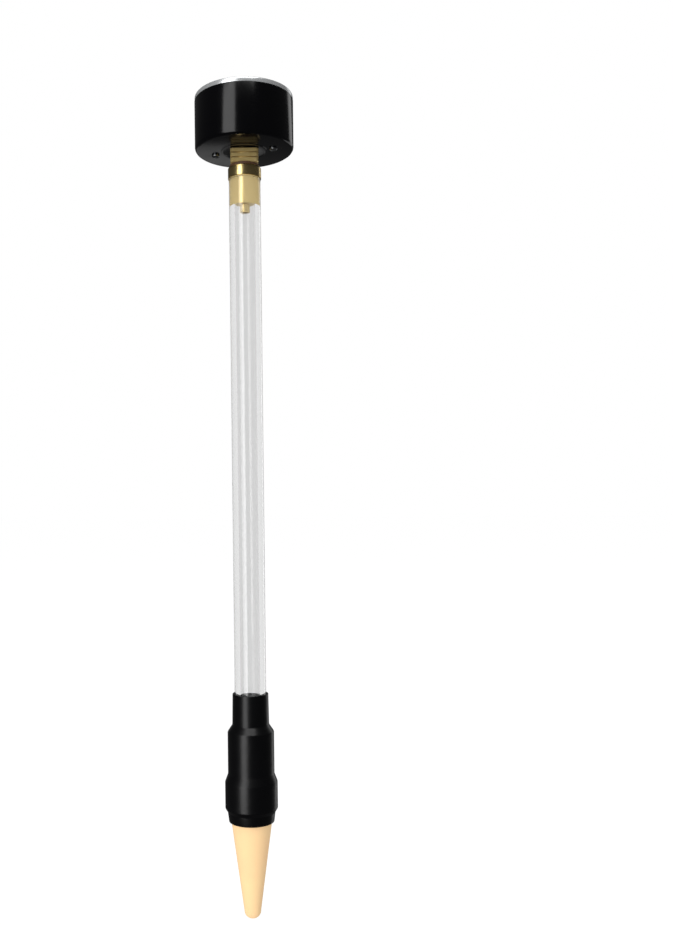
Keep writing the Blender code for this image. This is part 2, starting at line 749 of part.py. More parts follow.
def make_pointer():
    """A black needle with a fan tail on a hub, and a turned cap over the hub."""
    hang = {"parent": GAUGE}
    length = dial_radius - POINTER_MARGIN
    tail = arc((0, 0), POINTER_TAIL, 180 - POINTER_TAIL_HALF_ANGLE, 180 + POINTER_TAIL_HALF_ANGLE, 8)
    waist_x, waist_y = -POINTER_TAIL * 0.55, 1.25
    outline = [(length, 0.25), (HUB_RADIUS * 0.8, 0.75), (-HUB_RADIUS * 0.8, 0.9), (waist_x, waist_y)]
    outline += tail
    outline += [(waist_x, -waist_y), (-HUB_RADIUS * 0.8, -0.9), (HUB_RADIUS * 0.8, -0.75), (length, -0.25)]
    level = dial_top + POINTER_RISE
    pointer = plate(
        "pointer", [outline], level, level + POINTER_THICKNESS, material=BLACK_ALUMINIUM, turn=POINTER_REST, **hang
    )
    hub_ring = ring("pointer_hub", PINION_ARBOR + RUN, HUB_RADIUS, hub_bottom, hub_top, **hang)
    bore = cylinder("pointer_bore", PINION_ARBOR + RUN, hub_bottom - 1, hub_top + 1, **hang)
    combine(pointer, "UNION", hub_ring)
    combine(pointer, "DIFFERENCE", bore)
    cap_bottom = hub_top + GAP
    profile = [
        (0, cap_bottom + CAP_HEIGHT),
        (CAP_RADIUS * 0.45, cap_bottom + CAP_HEIGHT),
        (CAP_RADIUS, cap_bottom + 0.5),
        (CAP_RADIUS, cap_bottom),
        (0, cap_bottom),
    ]
    turned("pointer_cap", profile, steps=COARSE, material=STEEL, **hang)


# The Bourdon tube and the movement


def make_bourdon_tube():
    """A flattened C tube, open at its root, with a block that shuts its free tip."""
    hang = {"parent": GAUGE}
    half_width, half_height = BOURDON_WIDTH / 2, BOURDON_HEIGHT / 2
    crown = half_height - half_width
    outline = arc((BOURDON_RADIUS, crown), half_width, 180, 0, 4)
    outline += arc((BOURDON_RADIUS, -crown), half_width, 0, -180, 4)
    sweep = BOURDON_ROOT_ANGLE - BOURDON_TIP_ANGLE
    tube = turned(
        "bourdon_tube",
        outline,
        steps=BOURDON_STEPS,
        material=BRONZE,
        at=(0, 0, BOURDON_MIDDLE),
        turn=BOURDON_TIP_ANGLE,
        **hang,
    )
    tube.modifiers["turn"].angle = math.radians(sweep)
    wall = tube.modifiers.new("wall", "SOLIDIFY")
    wall.thickness = BOURDON_WALL * MM
    wall.offset = -1

    half_length = TIP_BLOCK_LENGTH / 2
    block_angle = BOURDON_TIP_ANGLE - math.degrees((GAP + half_length + 0.1) / BOURDON_RADIUS)
    block_half = (half_width + 0.4, half_length, half_height + 0.3)
    block = box(
        "bourdon_tip",
        [-value for value in block_half],
        block_half,
        at=(*polar(BOURDON_RADIUS, block_angle), BOURDON_MIDDLE),
        turn=block_angle,
        material=BRASS,
        **hang,
    )
    root = polar(BOURDON_RADIUS - 0.4, block_angle)
    lug_outline = capsule(root, tip_pin, 1.0, LINK_EYE)
    lug = plate("tip_lug", [lug_outline], lug_level, lug_level + 1, **hang)
    lug_hole = plate(
        "lug_hole", [circle(tip_pin, LINK_PIN + RUN)], lug_level - CUT_PAST, lug_level + 1 + CUT_PAST, **hang
    )
    combine(block, "UNION", lug)
    combine(block, "DIFFERENCE", lug_hole)


def tooth(pitch_radius, module, half_turn, middle):
    """The flanks and the tip of one involute tooth, as points round the gear's centre."""
    pressure = math.radians(20)
    base = pitch_radius * math.cos(pressure)
    spread = half_turn + math.tan(pressure) - pressure
    points = []
    for radius in (pitch_radius - 0.9 * module, pitch_radius, pitch_radius + 0.9 * module):
        slope = math.acos(min(1, base / max(radius, base)))
        half = spread - (math.tan(slope) - slope)
        points.append((radius, math.degrees(half)))
    rise = [polar(radius, middle - half) for radius, half in points]
    fall = [polar(radius, middle + half) for radius, half in reversed(points)]
    return rise + fall


def gear_teeth(wheel_teeth, first, count):
    """Teeth in a row round a gear, with its root between them."""
    pitch_radius = GEAR_MODULE * wheel_teeth / 2
    root = pitch_radius - 1.2 * GEAR_MODULE
    step = 360 / wheel_teeth
    half_turn = math.pi / 2 / wheel_teeth - TOOTH_PLAY / 2 / pitch_radius
    points = []
    for number in range(count):
        middle = first + number * step
        points += tooth(pitch_radius, GEAR_MODULE, half_turn, middle)
        points.append(polar(root, middle + step / 2))
    return points


def make_gears():
    """A sector that the link swings, and the pinion that carries the pointer."""
    hang = {"parent": GAUGE}
    to_pinion = SECTOR_PIVOT_ANGLE + 180
    sector_step = 360 / SECTOR_WHEEL_TEETH
    rim = gear_teeth(SECTOR_WHEEL_TEETH, to_pinion - sector_step, SECTOR_TEETH)
    last = to_pinion + (SECTOR_TEETH - 1.5) * sector_step
    hub = arc((0, 0), SECTOR_HUB, last, to_pinion - 1.5 * sector_step + 360, 12)
    level, top = SECTOR_LEVEL, SECTOR_LEVEL + SECTOR_THICKNESS
    sector = plate("sector_gear", [rim + hub], level, top, at=sector_pivot, material=BRASS, **hang)
    tail_outline = capsule(sector_pivot, tail_pin, SECTOR_HUB - 0.4, LINK_EYE)
    tail = plate("sector_tail", [tail_outline], level - 0.1, top - 0.1, **hang)
    arbor_hole = plate(
        "sector_arbor_hole", [circle(sector_pivot, SECTOR_ARBOR + RUN)], level - CUT_PAST, top + CUT_PAST, **hang
    )
    pin_hole = plate(
        "sector_pin_hole", [circle(tail_pin, LINK_PIN + RUN)], level - CUT_PAST, top + CUT_PAST, **hang
    )
    combine(sector, "UNION", tail)
    combine(sector, "DIFFERENCE", arbor_hole, pin_hole)

    arbor_low = BOTTOM_PLATE_LEVEL + 0.2
    arbor_high = top_plate_level + PLATE_THICKNESS - 0.2
    profile = [
        (0, arbor_high),
        (SECTOR_ARBOR, arbor_high),
        (SECTOR_ARBOR, level - GAP),
        (SECTOR_ARBOR * 2, level - GAP),
        (SECTOR_ARBOR * 2, BOTTOM_PLATE_LEVEL + PLATE_THICKNESS + GAP),
        (SECTOR_ARBOR, BOTTOM_PLATE_LEVEL + PLATE_THICKNESS + GAP),
        (SECTOR_ARBOR, arbor_low),
        (0, arbor_low),
    ]
    turned("sector_arbor", profile, steps=COARSE, material=STEEL, at=(*sector_pivot, 0), **hang)

    pinion_step = 360 / PINION_TEETH
    teeth = gear_teeth(PINION_TEETH, SECTOR_PIVOT_ANGLE + pinion_step / 2, PINION_TEETH)
    low, high = PINION_LEVEL, PINION_LEVEL + PINION_LENGTH
    pinion = plate("pinion_arbor", [teeth], low, high, material=BRASS, **hang)
    arbor = cylinder("pinion_shaft", PINION_ARBOR, arbor_low, hub_top - 0.2, steps=COARSE, **hang)
    combine(pinion, "UNION", arbor)


def make_link():
    """A flat bar with an eye at each end, and the two pins that it turns on."""
    hang = {"parent": GAUGE}
    outline = capsule(tail_pin, tip_pin, LINK_EYE, LINK_EYE)
    eyes = [circle(centre, LINK_PIN + RUN, 16) for centre in (tail_pin, tip_pin)]
    top = link_level + LINK_THICKNESS
    plate("connecting_link", [outline, *eyes], link_level, top, material=BRASS, **hang)
    pins = {
        "link_pin_sector": (tail_pin, SECTOR_LEVEL - 0.5, top + GAP),
        "link_pin_tip": (tip_pin, link_level - 0.4, lug_level + 1 + GAP),
    }
    for name, (centre, low, head) in pins.items():
        profile = [
            (0, head + 0.4),
            (LINK_PIN_HEAD, head + 0.4),
            (LINK_PIN_HEAD, head),
            (LINK_PIN, head),
            (LINK_PIN, low),
            (0, low),
        ]
        turned(name, profile, steps=16, material=STEEL, at=(*centre, 0), **hang)


def make_hairspring():
    """A flat spiral that takes up the play, its collet on the arbor and its outer stud."""
    hang = {"parent": GAUGE}
    level, top = HAIRSPRING_LEVEL, HAIRSPRING_LEVEL + HAIRSPRING_HEIGHT
    start = COLLET_RADIUS + 0.4
    steps = int(HAIRSPRING_TURNS * SPRING_STEPS)
    turns = [number / SPRING_STEPS for number in range(steps + 1)]
    spiral = [polar(start + HAIRSPRING_PITCH * turn, 360 * turn) for turn in turns]
    mesh = bpy.data.meshes.new("hairspring")
    form = bmesh.new()
    low = [form.verts.new((x * MM, y * MM, level * MM)) for x, y in spiral]
    high = [form.verts.new((x * MM, y * MM, top * MM)) for x, y in spiral]
    for i in range(steps):
        form.faces.new((low[i], low[i + 1], high[i + 1], high[i]))
    form.to_mesh(mesh)
    form.free()
    spring = place(bpy.data.objects.new("hairspring", mesh), material=BRONZE, **hang)
    strip = spring.modifiers.new("strip", "SOLIDIFY")
    strip.thickness = HAIRSPRING_STRIP * MM
    strip.offset = 0

    ring(
        "hairspring_collet",
        PINION_ARBOR + RUN,
        COLLET_RADIUS,
        level - 0.2,
        top + 0.2,
        steps=COARSE,
        material=BRASS,
        **hang,
    )
    end = start + HAIRSPRING_PITCH * HAIRSPRING_TURNS
    stud_place = polar(end + GAP + HAIRSPRING_STRIP + STUD_RADIUS, 360 * HAIRSPRING_TURNS)
    stud_top = top_plate_level + PLATE_THICKNESS + 0.4
    cylinder(
        "hairspring_stud", STUD_RADIUS, level - 0.2, stud_top, steps=16, material=BRASS, at=(*stud_place, 0), **hang
    )
    return stud_place


def make_plates(stud_place):
    """Two brass plates, the pillars that space them and the screws that hold them down."""
    hang = {"parent": GAUGE}
    outline = rounded_rectangle(PLATE_LOW, PLATE_HIGH, PLATE_CORNER)
    holes = [circle((0, 0), PINION_ARBOR + RUN), circle(sector_pivot, SECTOR_ARBOR + RUN)]
    holes += [circle(centre, PLATE_SCREW_RADIUS + RUN) for centre in PILLAR_PLACES.values()]
    bottom, top = BOTTOM_PLATE_LEVEL, top_plate_level
    plate(
        "movement_bottom_plate", [outline, *holes], bottom, bottom + PLATE_THICKNESS, material=BRASS, **hang
    )
    holes.append(circle(stud_place, STUD_RADIUS + RUN, 16))
    plate("movement_top_plate", [outline, *holes], top, top + PLATE_THICKNESS, material=BRASS, **hang)
    for name, centre in PILLAR_PLACES.items():
        bore = PLATE_SCREW_RADIUS + RUN
        low, high = bottom + PLATE_THICKNESS + GAP, top - GAP
        ring(
            f"movement_pillar_{name}",
            bore,
            PILLAR_RADIUS,
            low,
            high,
            steps=COARSE,
            material=BRASS,
            at=(*centre, 0),
            **hang,
        )
        head = top + PLATE_THICKNESS + GAP
        profile = [
            (0, head + 1),
            (PLATE_SCREW_HEAD, head + 1),
            (PLATE_SCREW_HEAD, head),
            (PLATE_SCREW_RADIUS, head),
            (PLATE_SCREW_RADIUS, bar_top - PLATE_SCREW_DEPTH + GAP),
            (0, bar_top - PLATE_SCREW_DEPTH + GAP),
        ]
        turned(
            f"movement_screw_{name}", profile, steps=COARSE, material=STEEL, at=(*centre, 0), **hang
        )


make_ceramic_cone()
make_coupling()
make_rubber_sleeve()
make_tube_and_adapter()
make_socket()
make_case()
make_bezel_and_window()
make_dial()
make_pointer()
make_bourdon_tube()
make_gears()
make_link()
make_plates(make_hairspring())
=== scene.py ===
"""Looks of a soil tensiometer: a vacuum gauge on a clear water tube with a ceramic cone."""

import math

import bmesh
import bpy
from mathutils import Euler, Matrix, Vector


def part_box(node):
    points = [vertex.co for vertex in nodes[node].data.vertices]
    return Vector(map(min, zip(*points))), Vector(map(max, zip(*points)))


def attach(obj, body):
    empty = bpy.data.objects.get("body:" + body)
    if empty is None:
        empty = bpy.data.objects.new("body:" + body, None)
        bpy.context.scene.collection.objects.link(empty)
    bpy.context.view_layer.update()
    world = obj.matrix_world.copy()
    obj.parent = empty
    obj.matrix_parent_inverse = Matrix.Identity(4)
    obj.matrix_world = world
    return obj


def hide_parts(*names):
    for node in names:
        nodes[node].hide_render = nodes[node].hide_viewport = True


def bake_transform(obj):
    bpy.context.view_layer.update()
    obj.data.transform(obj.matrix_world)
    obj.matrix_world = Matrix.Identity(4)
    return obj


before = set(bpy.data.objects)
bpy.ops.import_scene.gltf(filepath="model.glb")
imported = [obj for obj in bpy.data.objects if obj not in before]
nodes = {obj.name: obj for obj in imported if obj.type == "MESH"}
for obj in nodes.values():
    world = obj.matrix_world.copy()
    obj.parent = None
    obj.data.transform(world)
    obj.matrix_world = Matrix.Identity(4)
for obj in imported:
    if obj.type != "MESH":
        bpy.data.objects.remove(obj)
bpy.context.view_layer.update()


# Ceramic cone. Slip cast, fired and left unglazed, so that water seeps through its wall.
# It is cream with a peach tint, dull, with fine grains and pores all over.

MM = 0.001
ROUND, ROUND_CASE, ROUND_BEZEL, ROUND_SMALL = 128, 160, 192, 64  # corners in a turned piece


def linear(code):
    """An sRGB hex colour as the linear values that a shader takes."""
    parts = [int(code[i : i + 2], 16) / 255 for i in (1, 3, 5)]
    return (*(c / 12.92 if c <= 0.04045 else ((c + 0.055) / 1.055) ** 2.4 for c in parts), 1.0)


def add(tree, kind, inputs=(), **settings):
    """Adds a node with its settings. An input is a value or the socket that links to it."""
    made = tree.nodes.new("ShaderNode" + kind)
    for name, value in settings.items():
        setattr(made, name, value)
    for name, value in dict(inputs).items():
        if isinstance(value, bpy.types.NodeSocket):
            tree.links.new(value, made.inputs[name])
        else:
            made.inputs[name].default_value = value
    return made


def start_material(name):
    """A new material with nothing in it, and the tree that its nodes go in."""
    made = bpy.data.materials.new(name)
    made.use_nodes = True
    made.node_tree.nodes.clear()
    return made, made.node_tree


def fillet(before, corner, after, steps=4):
    """The corner's points with its rounding, on a line of (radius, height, rounding)."""
    here = Vector(corner[:2])
    rounding = corner[2] if len(corner) > 2 else 0
    if not rounding:
        return [tuple(here)]
    back = (Vector(before[:2]) - here).normalized()
    on = (Vector(after[:2]) - here).normalized()
    half = back.angle(on) / 2
    reach = rounding / math.tan(half)
    centre = here + (back + on).normalized() * rounding / math.sin(half)
    first, last = here + back * reach - centre, here + on * reach - centre
    points = []
    for step in range(steps + 1):
        share = step / steps
        arm = first.slerp(last, share).normalized() * rounding
        points.append(tuple(centre + arm))
    return points


def line_of(corners):
    """A closed line, or an open one whose ends are on the axis, with its corners rounded."""
    count = len(corners)
    points = []
    for i, corner in enumerate(corners):
        points += fillet(corners[i - 1], corner, corners[(i + 1) % count])
    return points


def lathe(name, corners, segments=ROUND, at=(0, 0)):
    """Turns a line of (radius, height, rounding) corners, in millimetres, round an upright axis."""
    points = line_of(corners)
    form = bmesh.new()
    rings = []
    for radius, height in points:
        if radius < 1e-6:
            rings.append([form.verts.new((0, 0, height * MM))])
            continue
        turn = 2 * math.pi / segments
        rings.append([
            form.verts.new((
                radius * MM * math.cos(turn * i), radius * MM * math.sin(turn * i), height * MM,
            ))
            for i in range(segments)
        ])
    pairs = list(zip(rings, rings[1:]))
    if len(rings[0]) > 1:
        pairs.append((rings[-1], rings[0]))
    for upper, lower in pairs:
        for i in range(segments):
            j = (i + 1) % segments
            above = [upper[i % len(upper)], upper[j % len(upper)]]
            below = [lower[j % len(lower)], lower[i % len(lower)]]
            form.faces.new(list(dict.fromkeys(above + below)))  # a triangle where a ring is one point
    bmesh.ops.translate(form, verts=form.verts, vec=(at[0] * MM, at[1] * MM, 0))
    return solid(name, form)


def solid(name, form, sharp=35):
    """The object of a finished form, smooth but for edges sharper than that many degrees."""
    bmesh.ops.recalc_face_normals(form, faces=form.faces)
    mesh = bpy.data.meshes.new(name)
    form.to_mesh(mesh)
    form.free()
    mesh.shade_smooth()
    mesh.set_sharp_from_angle(angle=math.radians(sharp))
    made = bpy.data.objects.new(name, mesh)
    bpy.context.scene.collection.objects.link(made)
    return made


def fit(piece, finish, body, slot, *stands_for):
    """Gives a piece its finish and its body, and hides the CAD nodes it stands for."""
    piece.data.materials.clear()
    piece.data.materials.append(finish)
    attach(piece, body)
    if stands_for:
        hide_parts(*stands_for)
    return piece


def span(node):
    """A node's lowest and highest z and its outer radius, in millimetres."""
    low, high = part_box(node)
    return low.z / MM, high.z / MM, high.x / MM


CREAM, PEACH, PORE = linear("#e3ca94"), linear("#e9ba8e"), linear("#c4966a")
GRAIN = 0.35 * MM  # of the fired body; finer grains would not show
unglazed_ceramic, tree = start_material("unglazed_ceramic")
place = add(tree, "TexCoord").outputs["Object"]
cloud = add(tree, "TexNoise", {"Vector": place, "Scale": 1 / (14 * MM), "Detail": 3.0})
tint = add(tree, "MixRGB", {"Fac": cloud.outputs["Fac"], "Color1": CREAM, "Color2": PEACH})
grains = add(tree, "TexNoise", {"Vector": place, "Scale": 1 / GRAIN, "Detail": 4.0, "Roughness": 0.7})
pores = add(tree, "MapRange", {
    "Value": grains.outputs["Fac"], "From Min": 0.60, "From Max": 0.80, "To Max": 0.55,
})
body_colour = add(tree, "MixRGB", {
    "Fac": pores.outputs["Result"], "Color1": tint.outputs["Color"], "Color2": PORE,
})
relief = add(tree, "Bump", {"Height": grains.outputs["Fac"], "Distance": 0.05 * MM, "Strength": 0.35})
surface = add(tree, "BsdfPrincipled", {
    "Base Color": body_colour.outputs["Color"], "Roughness": 0.82, "IOR": 1.5,
    "Normal": relief.outputs["Normal"],
})
add(tree, "OutputMaterial", {"Surface": surface.outputs["BSDF"]})

_, cone_top, cone_flange = span("ceramic_cone")
CONE_NECK, CONE_NECK_HEIGHT, CONE_TIP, CONE_TIP_HEIGHT, CONE_WALL = 10.9, 53.5, 4.2, 3.6, 2.5
CAVITY_LOW, CAVITY_FOOT, CAVITY_FOOT_HIGH, CAVITY_HIGH = 5.0, 2.1, 6.0, 50.5
CONE_MOUTH, CONE_MOUTH_LOW, FLANGE_LOW, TIP_STEPS = 8.6, 58.3, 55.5, 12
tip_arc = [
    (CONE_TIP * math.sin(angle), CONE_TIP_HEIGHT * (1 - math.cos(angle)))
    for angle in (math.radians(90 / TIP_STEPS * step) for step in range(TIP_STEPS, -1, -1))
]
cone = lathe("ceramic_cone_body", [
    (0, CAVITY_LOW), (CAVITY_FOOT, CAVITY_FOOT_HIGH, 0.6), (CONE_NECK - CONE_WALL, CAVITY_HIGH, 1),
    (CONE_MOUTH, CONE_MOUTH_LOW), (CONE_MOUTH, cone_top),
    (cone_flange, cone_top, 0.3), (cone_flange, FLANGE_LOW, 0.3), (CONE_NECK, CONE_NECK_HEIGHT), *tip_arc,
])
fit(cone, unglazed_ceramic, "water_tube", "ceramic", "ceramic_cone")


# Gasket and coupling bush, hidden under the sleeve. The gasket is soft black rubber and the
# bush is injection moulded grey PVC, glued to the tube, with a spigot in the cone's mouth.

gasket_rubber, tree = start_material("moulded_gasket_rubber")
place = add(tree, "TexCoord").outputs["Object"]
dust = add(tree, "TexNoise", {"Vector": place, "Scale": 1 / (2 * MM), "Detail": 3.0})
dull = add(tree, "MapRange", {"Value": dust.outputs["Fac"], "To Min": 0.55, "To Max": 0.75})
surface = add(tree, "BsdfPrincipled", {
    "Base Color": linear("#141415"), "Roughness": dull.outputs["Result"], "IOR": 1.52,
})
add(tree, "OutputMaterial", {"Surface": surface.outputs["BSDF"]})
nodes["cone_gasket"].data.materials.clear()
nodes["cone_gasket"].data.materials.append(gasket_rubber)

grey_pvc, tree = start_material("moulded_grey_pvc")
place = add(tree, "TexCoord").outputs["Object"]
flow = add(tree, "TexNoise", {"Vector": place, "Scale": 1 / (6 * MM), "Detail": 2.0})
shade = add(tree, "MixRGB", {
    "Fac": flow.outputs["Fac"], "Color1": linear("#a4a6a8"), "Color2": linear("#b0b1b2"),
})
surface = add(tree, "BsdfPrincipled", {
    "Base Color": shade.outputs["Color"], "Roughness": 0.45, "IOR": 1.53,
})
add(tree, "OutputMaterial", {"Surface": surface.outputs["BSDF"]})
nodes["coupling_bush"].data.materials.clear()
nodes["coupling_bush"].data.materials.append(grey_pvc)


# Rubber sleeve. Shrunk by heat over the cone's flange, the bush and the tube's foot, so it
# follows their steps with soft shoulders. Satin black, with a faint drawn grain.

RUBBER_GRAIN = 0.4 * MM
shrunk_rubber, tree = start_material("heat_shrunk_rubber")
place = add(tree, "TexCoord").outputs["Object"]
drawn = add(tree, "Mapping", {"Vector": place, "Scale": (1.0, 1.0, 0.15)})
grain = add(tree, "TexNoise", {"Vector": drawn.outputs["Vector"], "Scale": 1 / RUBBER_GRAIN, "Detail": 3.0})
waves = add(tree, "TexNoise", {"Vector": place, "Scale": 1 / (5 * MM), "Detail": 2.0})
both = add(tree, "Math", {0: waves.outputs["Fac"], 1: grain.outputs["Fac"]}, operation="MULTIPLY")
soft = add(tree, "Bump", {"Height": waves.outputs["Fac"], "Distance": 0.12 * MM, "Strength": 0.5})
fine = add(tree, "Bump", {
    "Height": grain.outputs["Fac"], "Distance": 0.02 * MM, "Strength": 0.35,
    "Normal": soft.outputs["Normal"],
})
sheen = add(tree, "MapRange", {"Value": both.outputs["Value"], "To Min": 0.28, "To Max": 0.40})
surface = add(tree, "BsdfPrincipled", {
    "Base Color": linear("#020203"), "Roughness": sheen.outputs["Result"], "IOR": 1.4,
    "Normal": fine.outputs["Normal"],
})
add(tree, "OutputMaterial", {"Surface": surface.outputs["BSDF"]})

TIGHT = 0.05  # between pieces that touch, where the CAD solids leave 0.3
sleeve_low, sleeve_top, sleeve_radius = span("rubber_sleeve")
tube_radius = span("clear_tube")[2]
bush_radius = span("coupling_bush")[2]
ABOVE_BUSH, SKIN_AT_TOP, SKIN_AT_TUBE, SKIN_AT_BUSH = 18.0, 1.1, 1.35, 1.8
NECK_STEP_HIGH, NECK_STEP_LOW = 2.4, 1.2  # the upper shoulder, over and under the bush's top
BELLY_SLOPE_HIGH, BELLY_HIGH, BELLY_LOW = 73.5, 69.5, 56.2
LIP_HIGH, LIP_RADIUS, LIP_END = 54.2, 12.1, 11.5
cone_slope = (CONE_NECK - CONE_TIP) / (CONE_NECK_HEIGHT - CONE_TIP_HEIGHT)
cone_at_lip = CONE_TIP + cone_slope * (sleeve_low - CONE_TIP_HEIGHT)
bush_top, skin_radius = sleeve_top - ABOVE_BUSH, bush_radius + SKIN_AT_BUSH
sleeve = lathe("rubber_sleeve_skin", [
    (tube_radius + SKIN_AT_TOP, sleeve_top, 0.35),
    (tube_radius + SKIN_AT_TUBE, bush_top + NECK_STEP_HIGH, 1.6),
    (skin_radius, bush_top - NECK_STEP_LOW, 1.4), (skin_radius, BELLY_SLOPE_HIGH, 2.0),
    (sleeve_radius, BELLY_HIGH, 2.5), (sleeve_radius, BELLY_LOW, 1.4),
    (LIP_RADIUS, LIP_HIGH, 0.8), (LIP_END, sleeve_low, 0.25),
    (cone_at_lip + TIGHT, sleeve_low), (CONE_NECK + TIGHT, CONE_NECK_HEIGHT),
    (cone_flange + TIGHT, FLANGE_LOW - 0.1), (cone_flange + TIGHT, cone_top + 0.3),
    (bush_radius + TIGHT, cone_top + 1.4), (bush_radius + TIGHT, bush_top),
    (tube_radius + TIGHT, bush_top + 1.6), (tube_radius + TIGHT, sleeve_top, 0.2),
])
fit(sleeve, shrunk_rubber, "water_tube", "rubber", "rubber_sleeve")


# Clear tube. Extruded acrylic, which leaves long faint streaks down its walls, so what is
# behind it wavers a little from side to side.

extruded_acrylic, tree = start_material("extruded_acrylic")
place = add(tree, "TexCoord").outputs["Object"]
drawn = add(tree, "Mapping", {"Vector": place, "Scale": (1.0, 1.0, 0.01)})
streaks = add(tree, "TexNoise", {"Vector": drawn.outputs["Vector"], "Scale": 1 / (2.5 * MM), "Detail": 2.0})
ripple = add(tree, "Bump", {"Height": streaks.outputs["Fac"], "Distance": 0.02 * MM, "Strength": 0.1})
surface = add(tree, "BsdfPrincipled", {
    "Base Color": linear("#e9e9e9"), "Roughness": 0.02, "IOR": 1.49, "Transmission Weight": 1.0,
    "Normal": ripple.outputs["Normal"],
})
add(tree, "OutputMaterial", {"Surface": surface.outputs["BSDF"]})

TUBE_BORE, TUBE_EDGE = 5.0, 0.2
tube_low, tube_top, _ = span("clear_tube")
tube = lathe("clear_tube_wall", [
    (tube_radius, tube_top, TUBE_EDGE), (tube_radius, tube_low, TUBE_EDGE),
    (TUBE_BORE, tube_low, TUBE_EDGE), (TUBE_BORE, tube_top, TUBE_EDGE),
])
fit(tube, extruded_acrylic, "water_tube", "acrylic", "clear_tube")


# Tube adapter. Turned from brass bar: a collar on the tube's end, an insert glued into its
# bore and a nipple below. The lathe leaves fine rings, handling leaves darker patches and the
# cement leaves a pale dull film on all of it that is inside the tube.

TOOL_MARK = 0.22 * MM
CEMENT = 0.45  # how much of the brass its film hides
turned_brass, tree = start_material("turned_brass")
place = add(tree, "TexCoord").outputs["Object"]
along = add(tree, "SeparateXYZ", {"Vector": place})
marks = add(tree, "TexNoise", {
    "W": along.outputs["Z"], "Scale": 1 / TOOL_MARK, "Detail": 2.0,
}, noise_dimensions="1D")
patches = add(tree, "TexNoise", {"Vector": place, "Scale": 1 / (3.5 * MM), "Detail": 4.0})
metal = add(tree, "MixRGB", {
    "Fac": patches.outputs["Fac"], "Color1": linear("#ecd698"), "Color2": linear("#dabb7a"),
})
polish = add(tree, "MapRange", {"Value": patches.outputs["Fac"], "To Min": 0.18, "To Max": 0.32})
rings = add(tree, "Bump", {"Height": marks.outputs["Fac"], "Distance": 0.012 * MM, "Strength": 0.25})
bare = add(tree, "BsdfPrincipled", {
    "Base Color": metal.outputs["Color"], "Metallic": 1.0, "Roughness": polish.outputs["Result"],
    "Normal": rings.outputs["Normal"],
})
film = add(tree, "BsdfDiffuse", {"Color": linear("#e6d3a0")})
cemented = add(tree, "MapRange", {
    "Value": along.outputs["Z"], "From Min": tube_top * MM, "From Max": (tube_top - 0.2) * MM,
    "To Max": CEMENT,
})
surface = add(tree, "MixShader", {
    0: cemented.outputs["Result"], 1: bare.outputs["BSDF"], 2: film.outputs["BSDF"],
})
add(tree, "OutputMaterial", {"Surface": surface.outputs["Shader"]})

adapter_low, adapter_top, collar = span("tube_adapter")
NIPPLE, NIPPLE_LENGTH, NIPPLE_BORE = 2.4, 4.0, 1.8
THREAD_HOLE, THREAD_HOLE_UP, THREAD_HOLE_TAPER = 4.16, 12.0, 0.7
INSERT = TUBE_BORE + 0.02  # bonded, so no air lies between the brass and the acrylic
insert_low = adapter_low + NIPPLE_LENGTH
hole_low = adapter_low + THREAD_HOLE_UP
adapter = lathe("tube_adapter_body", [
    (collar, adapter_top, 0.45), (collar, tube_top + TIGHT, 0.15), (INSERT, tube_top + TIGHT),
    (INSERT, insert_low, 0.3), (NIPPLE, insert_low, 0.2), (NIPPLE, adapter_low, 0.2),
    (NIPPLE_BORE, adapter_low), (NIPPLE_BORE, hole_low - THREAD_HOLE_TAPER),
    (THREAD_HOLE, hole_low), (THREAD_HOLE, adapter_top, 0.3),
])
fit(adapter, turned_brass, "water_tube", "brass", "tube_adapter")


# Stem washer. Stamped from red-brown vulcanised fibre and squeezed under the gauge's stem to
# seal it. Dull and papery, a little lighter where its fibres lie flat.

vulcanised_fibre, tree = start_material("stamped_vulcanised_fibre")
place = add(tree, "TexCoord").outputs["Object"]
fibres = add(tree, "TexNoise", {"Vector": place, "Scale": 1 / (0.8 * MM), "Detail": 4.0})
tone = add(tree, "MixRGB", {
    "Fac": fibres.outputs["Fac"], "Color1": linear("#3a2312"), "Color2": linear("#553820"),
})
relief = add(tree, "Bump", {"Height": fibres.outputs["Fac"], "Distance": 0.02 * MM, "Strength": 0.4})
surface = add(tree, "BsdfPrincipled", {
    "Base Color": tone.outputs["Color"], "Roughness": 0.65, "Normal": relief.outputs["Normal"],
})
add(tree, "OutputMaterial", {"Surface": surface.outputs["BSDF"]})

SHANK_HEIGHT, SHANK_GAP = 7.0, 0.3  # the square of the stem, and the air over it
RING_RISE = 0.25  # of the ring pressed round the stem, below the case's back
_, _, washer_radius = span("stem_washer")
case_back = span("case")[0] + RING_RISE
shank_low = case_back - SHANK_GAP - SHANK_HEIGHT
washer_low, washer_high = adapter_top + TIGHT / 2, shank_low - TIGHT / 2
washer = lathe("stem_washer_ring", [
    (washer_radius, washer_high, 0.15), (washer_radius, washer_low, 0.15),
    (THREAD_HOLE, washer_low), (THREAD_HOLE, washer_high),
])
fit(washer, vulcanised_fibre, "washer", "fibre", "stem_washer")


# Gauge stem. One brass piece, turned and then milled square for a wrench, with two grooves
# round the square and a screw thread below. A bore opens in its foot. Satin, a little dull.

THREAD_RADIUS, THREAD_PITCH, THREAD_DEPTH, THREAD_LENGTH = 3.86, 0.907, 0.5, 9.3
RINGS_A_TURN = 10  # in the thread
HALF_FLATS, SHANK_CORNER, SHANK_CHAMFER, NECK = 7.0, 9.3, 0.3, 5.5
GROOVE_RADIUS, GROOVE_HALF, GROOVE_FLOOR_HALF = 6.6, 0.3, 0.12
GROOVES = (2.3, 4.7)  # up from the shank's lower face
SHANK_TURN = math.radians(17)
STEM_BORE, STEM_BORE_DEPTH, BAR_LEVEL, AROUND = 1.6, 6.0, 1.3, 96
RUN_OUT = 0.8  # how steeply the thread starts and ends
thread_low = shank_low - THREAD_LENGTH
thread_root = THREAD_RADIUS - THREAD_DEPTH


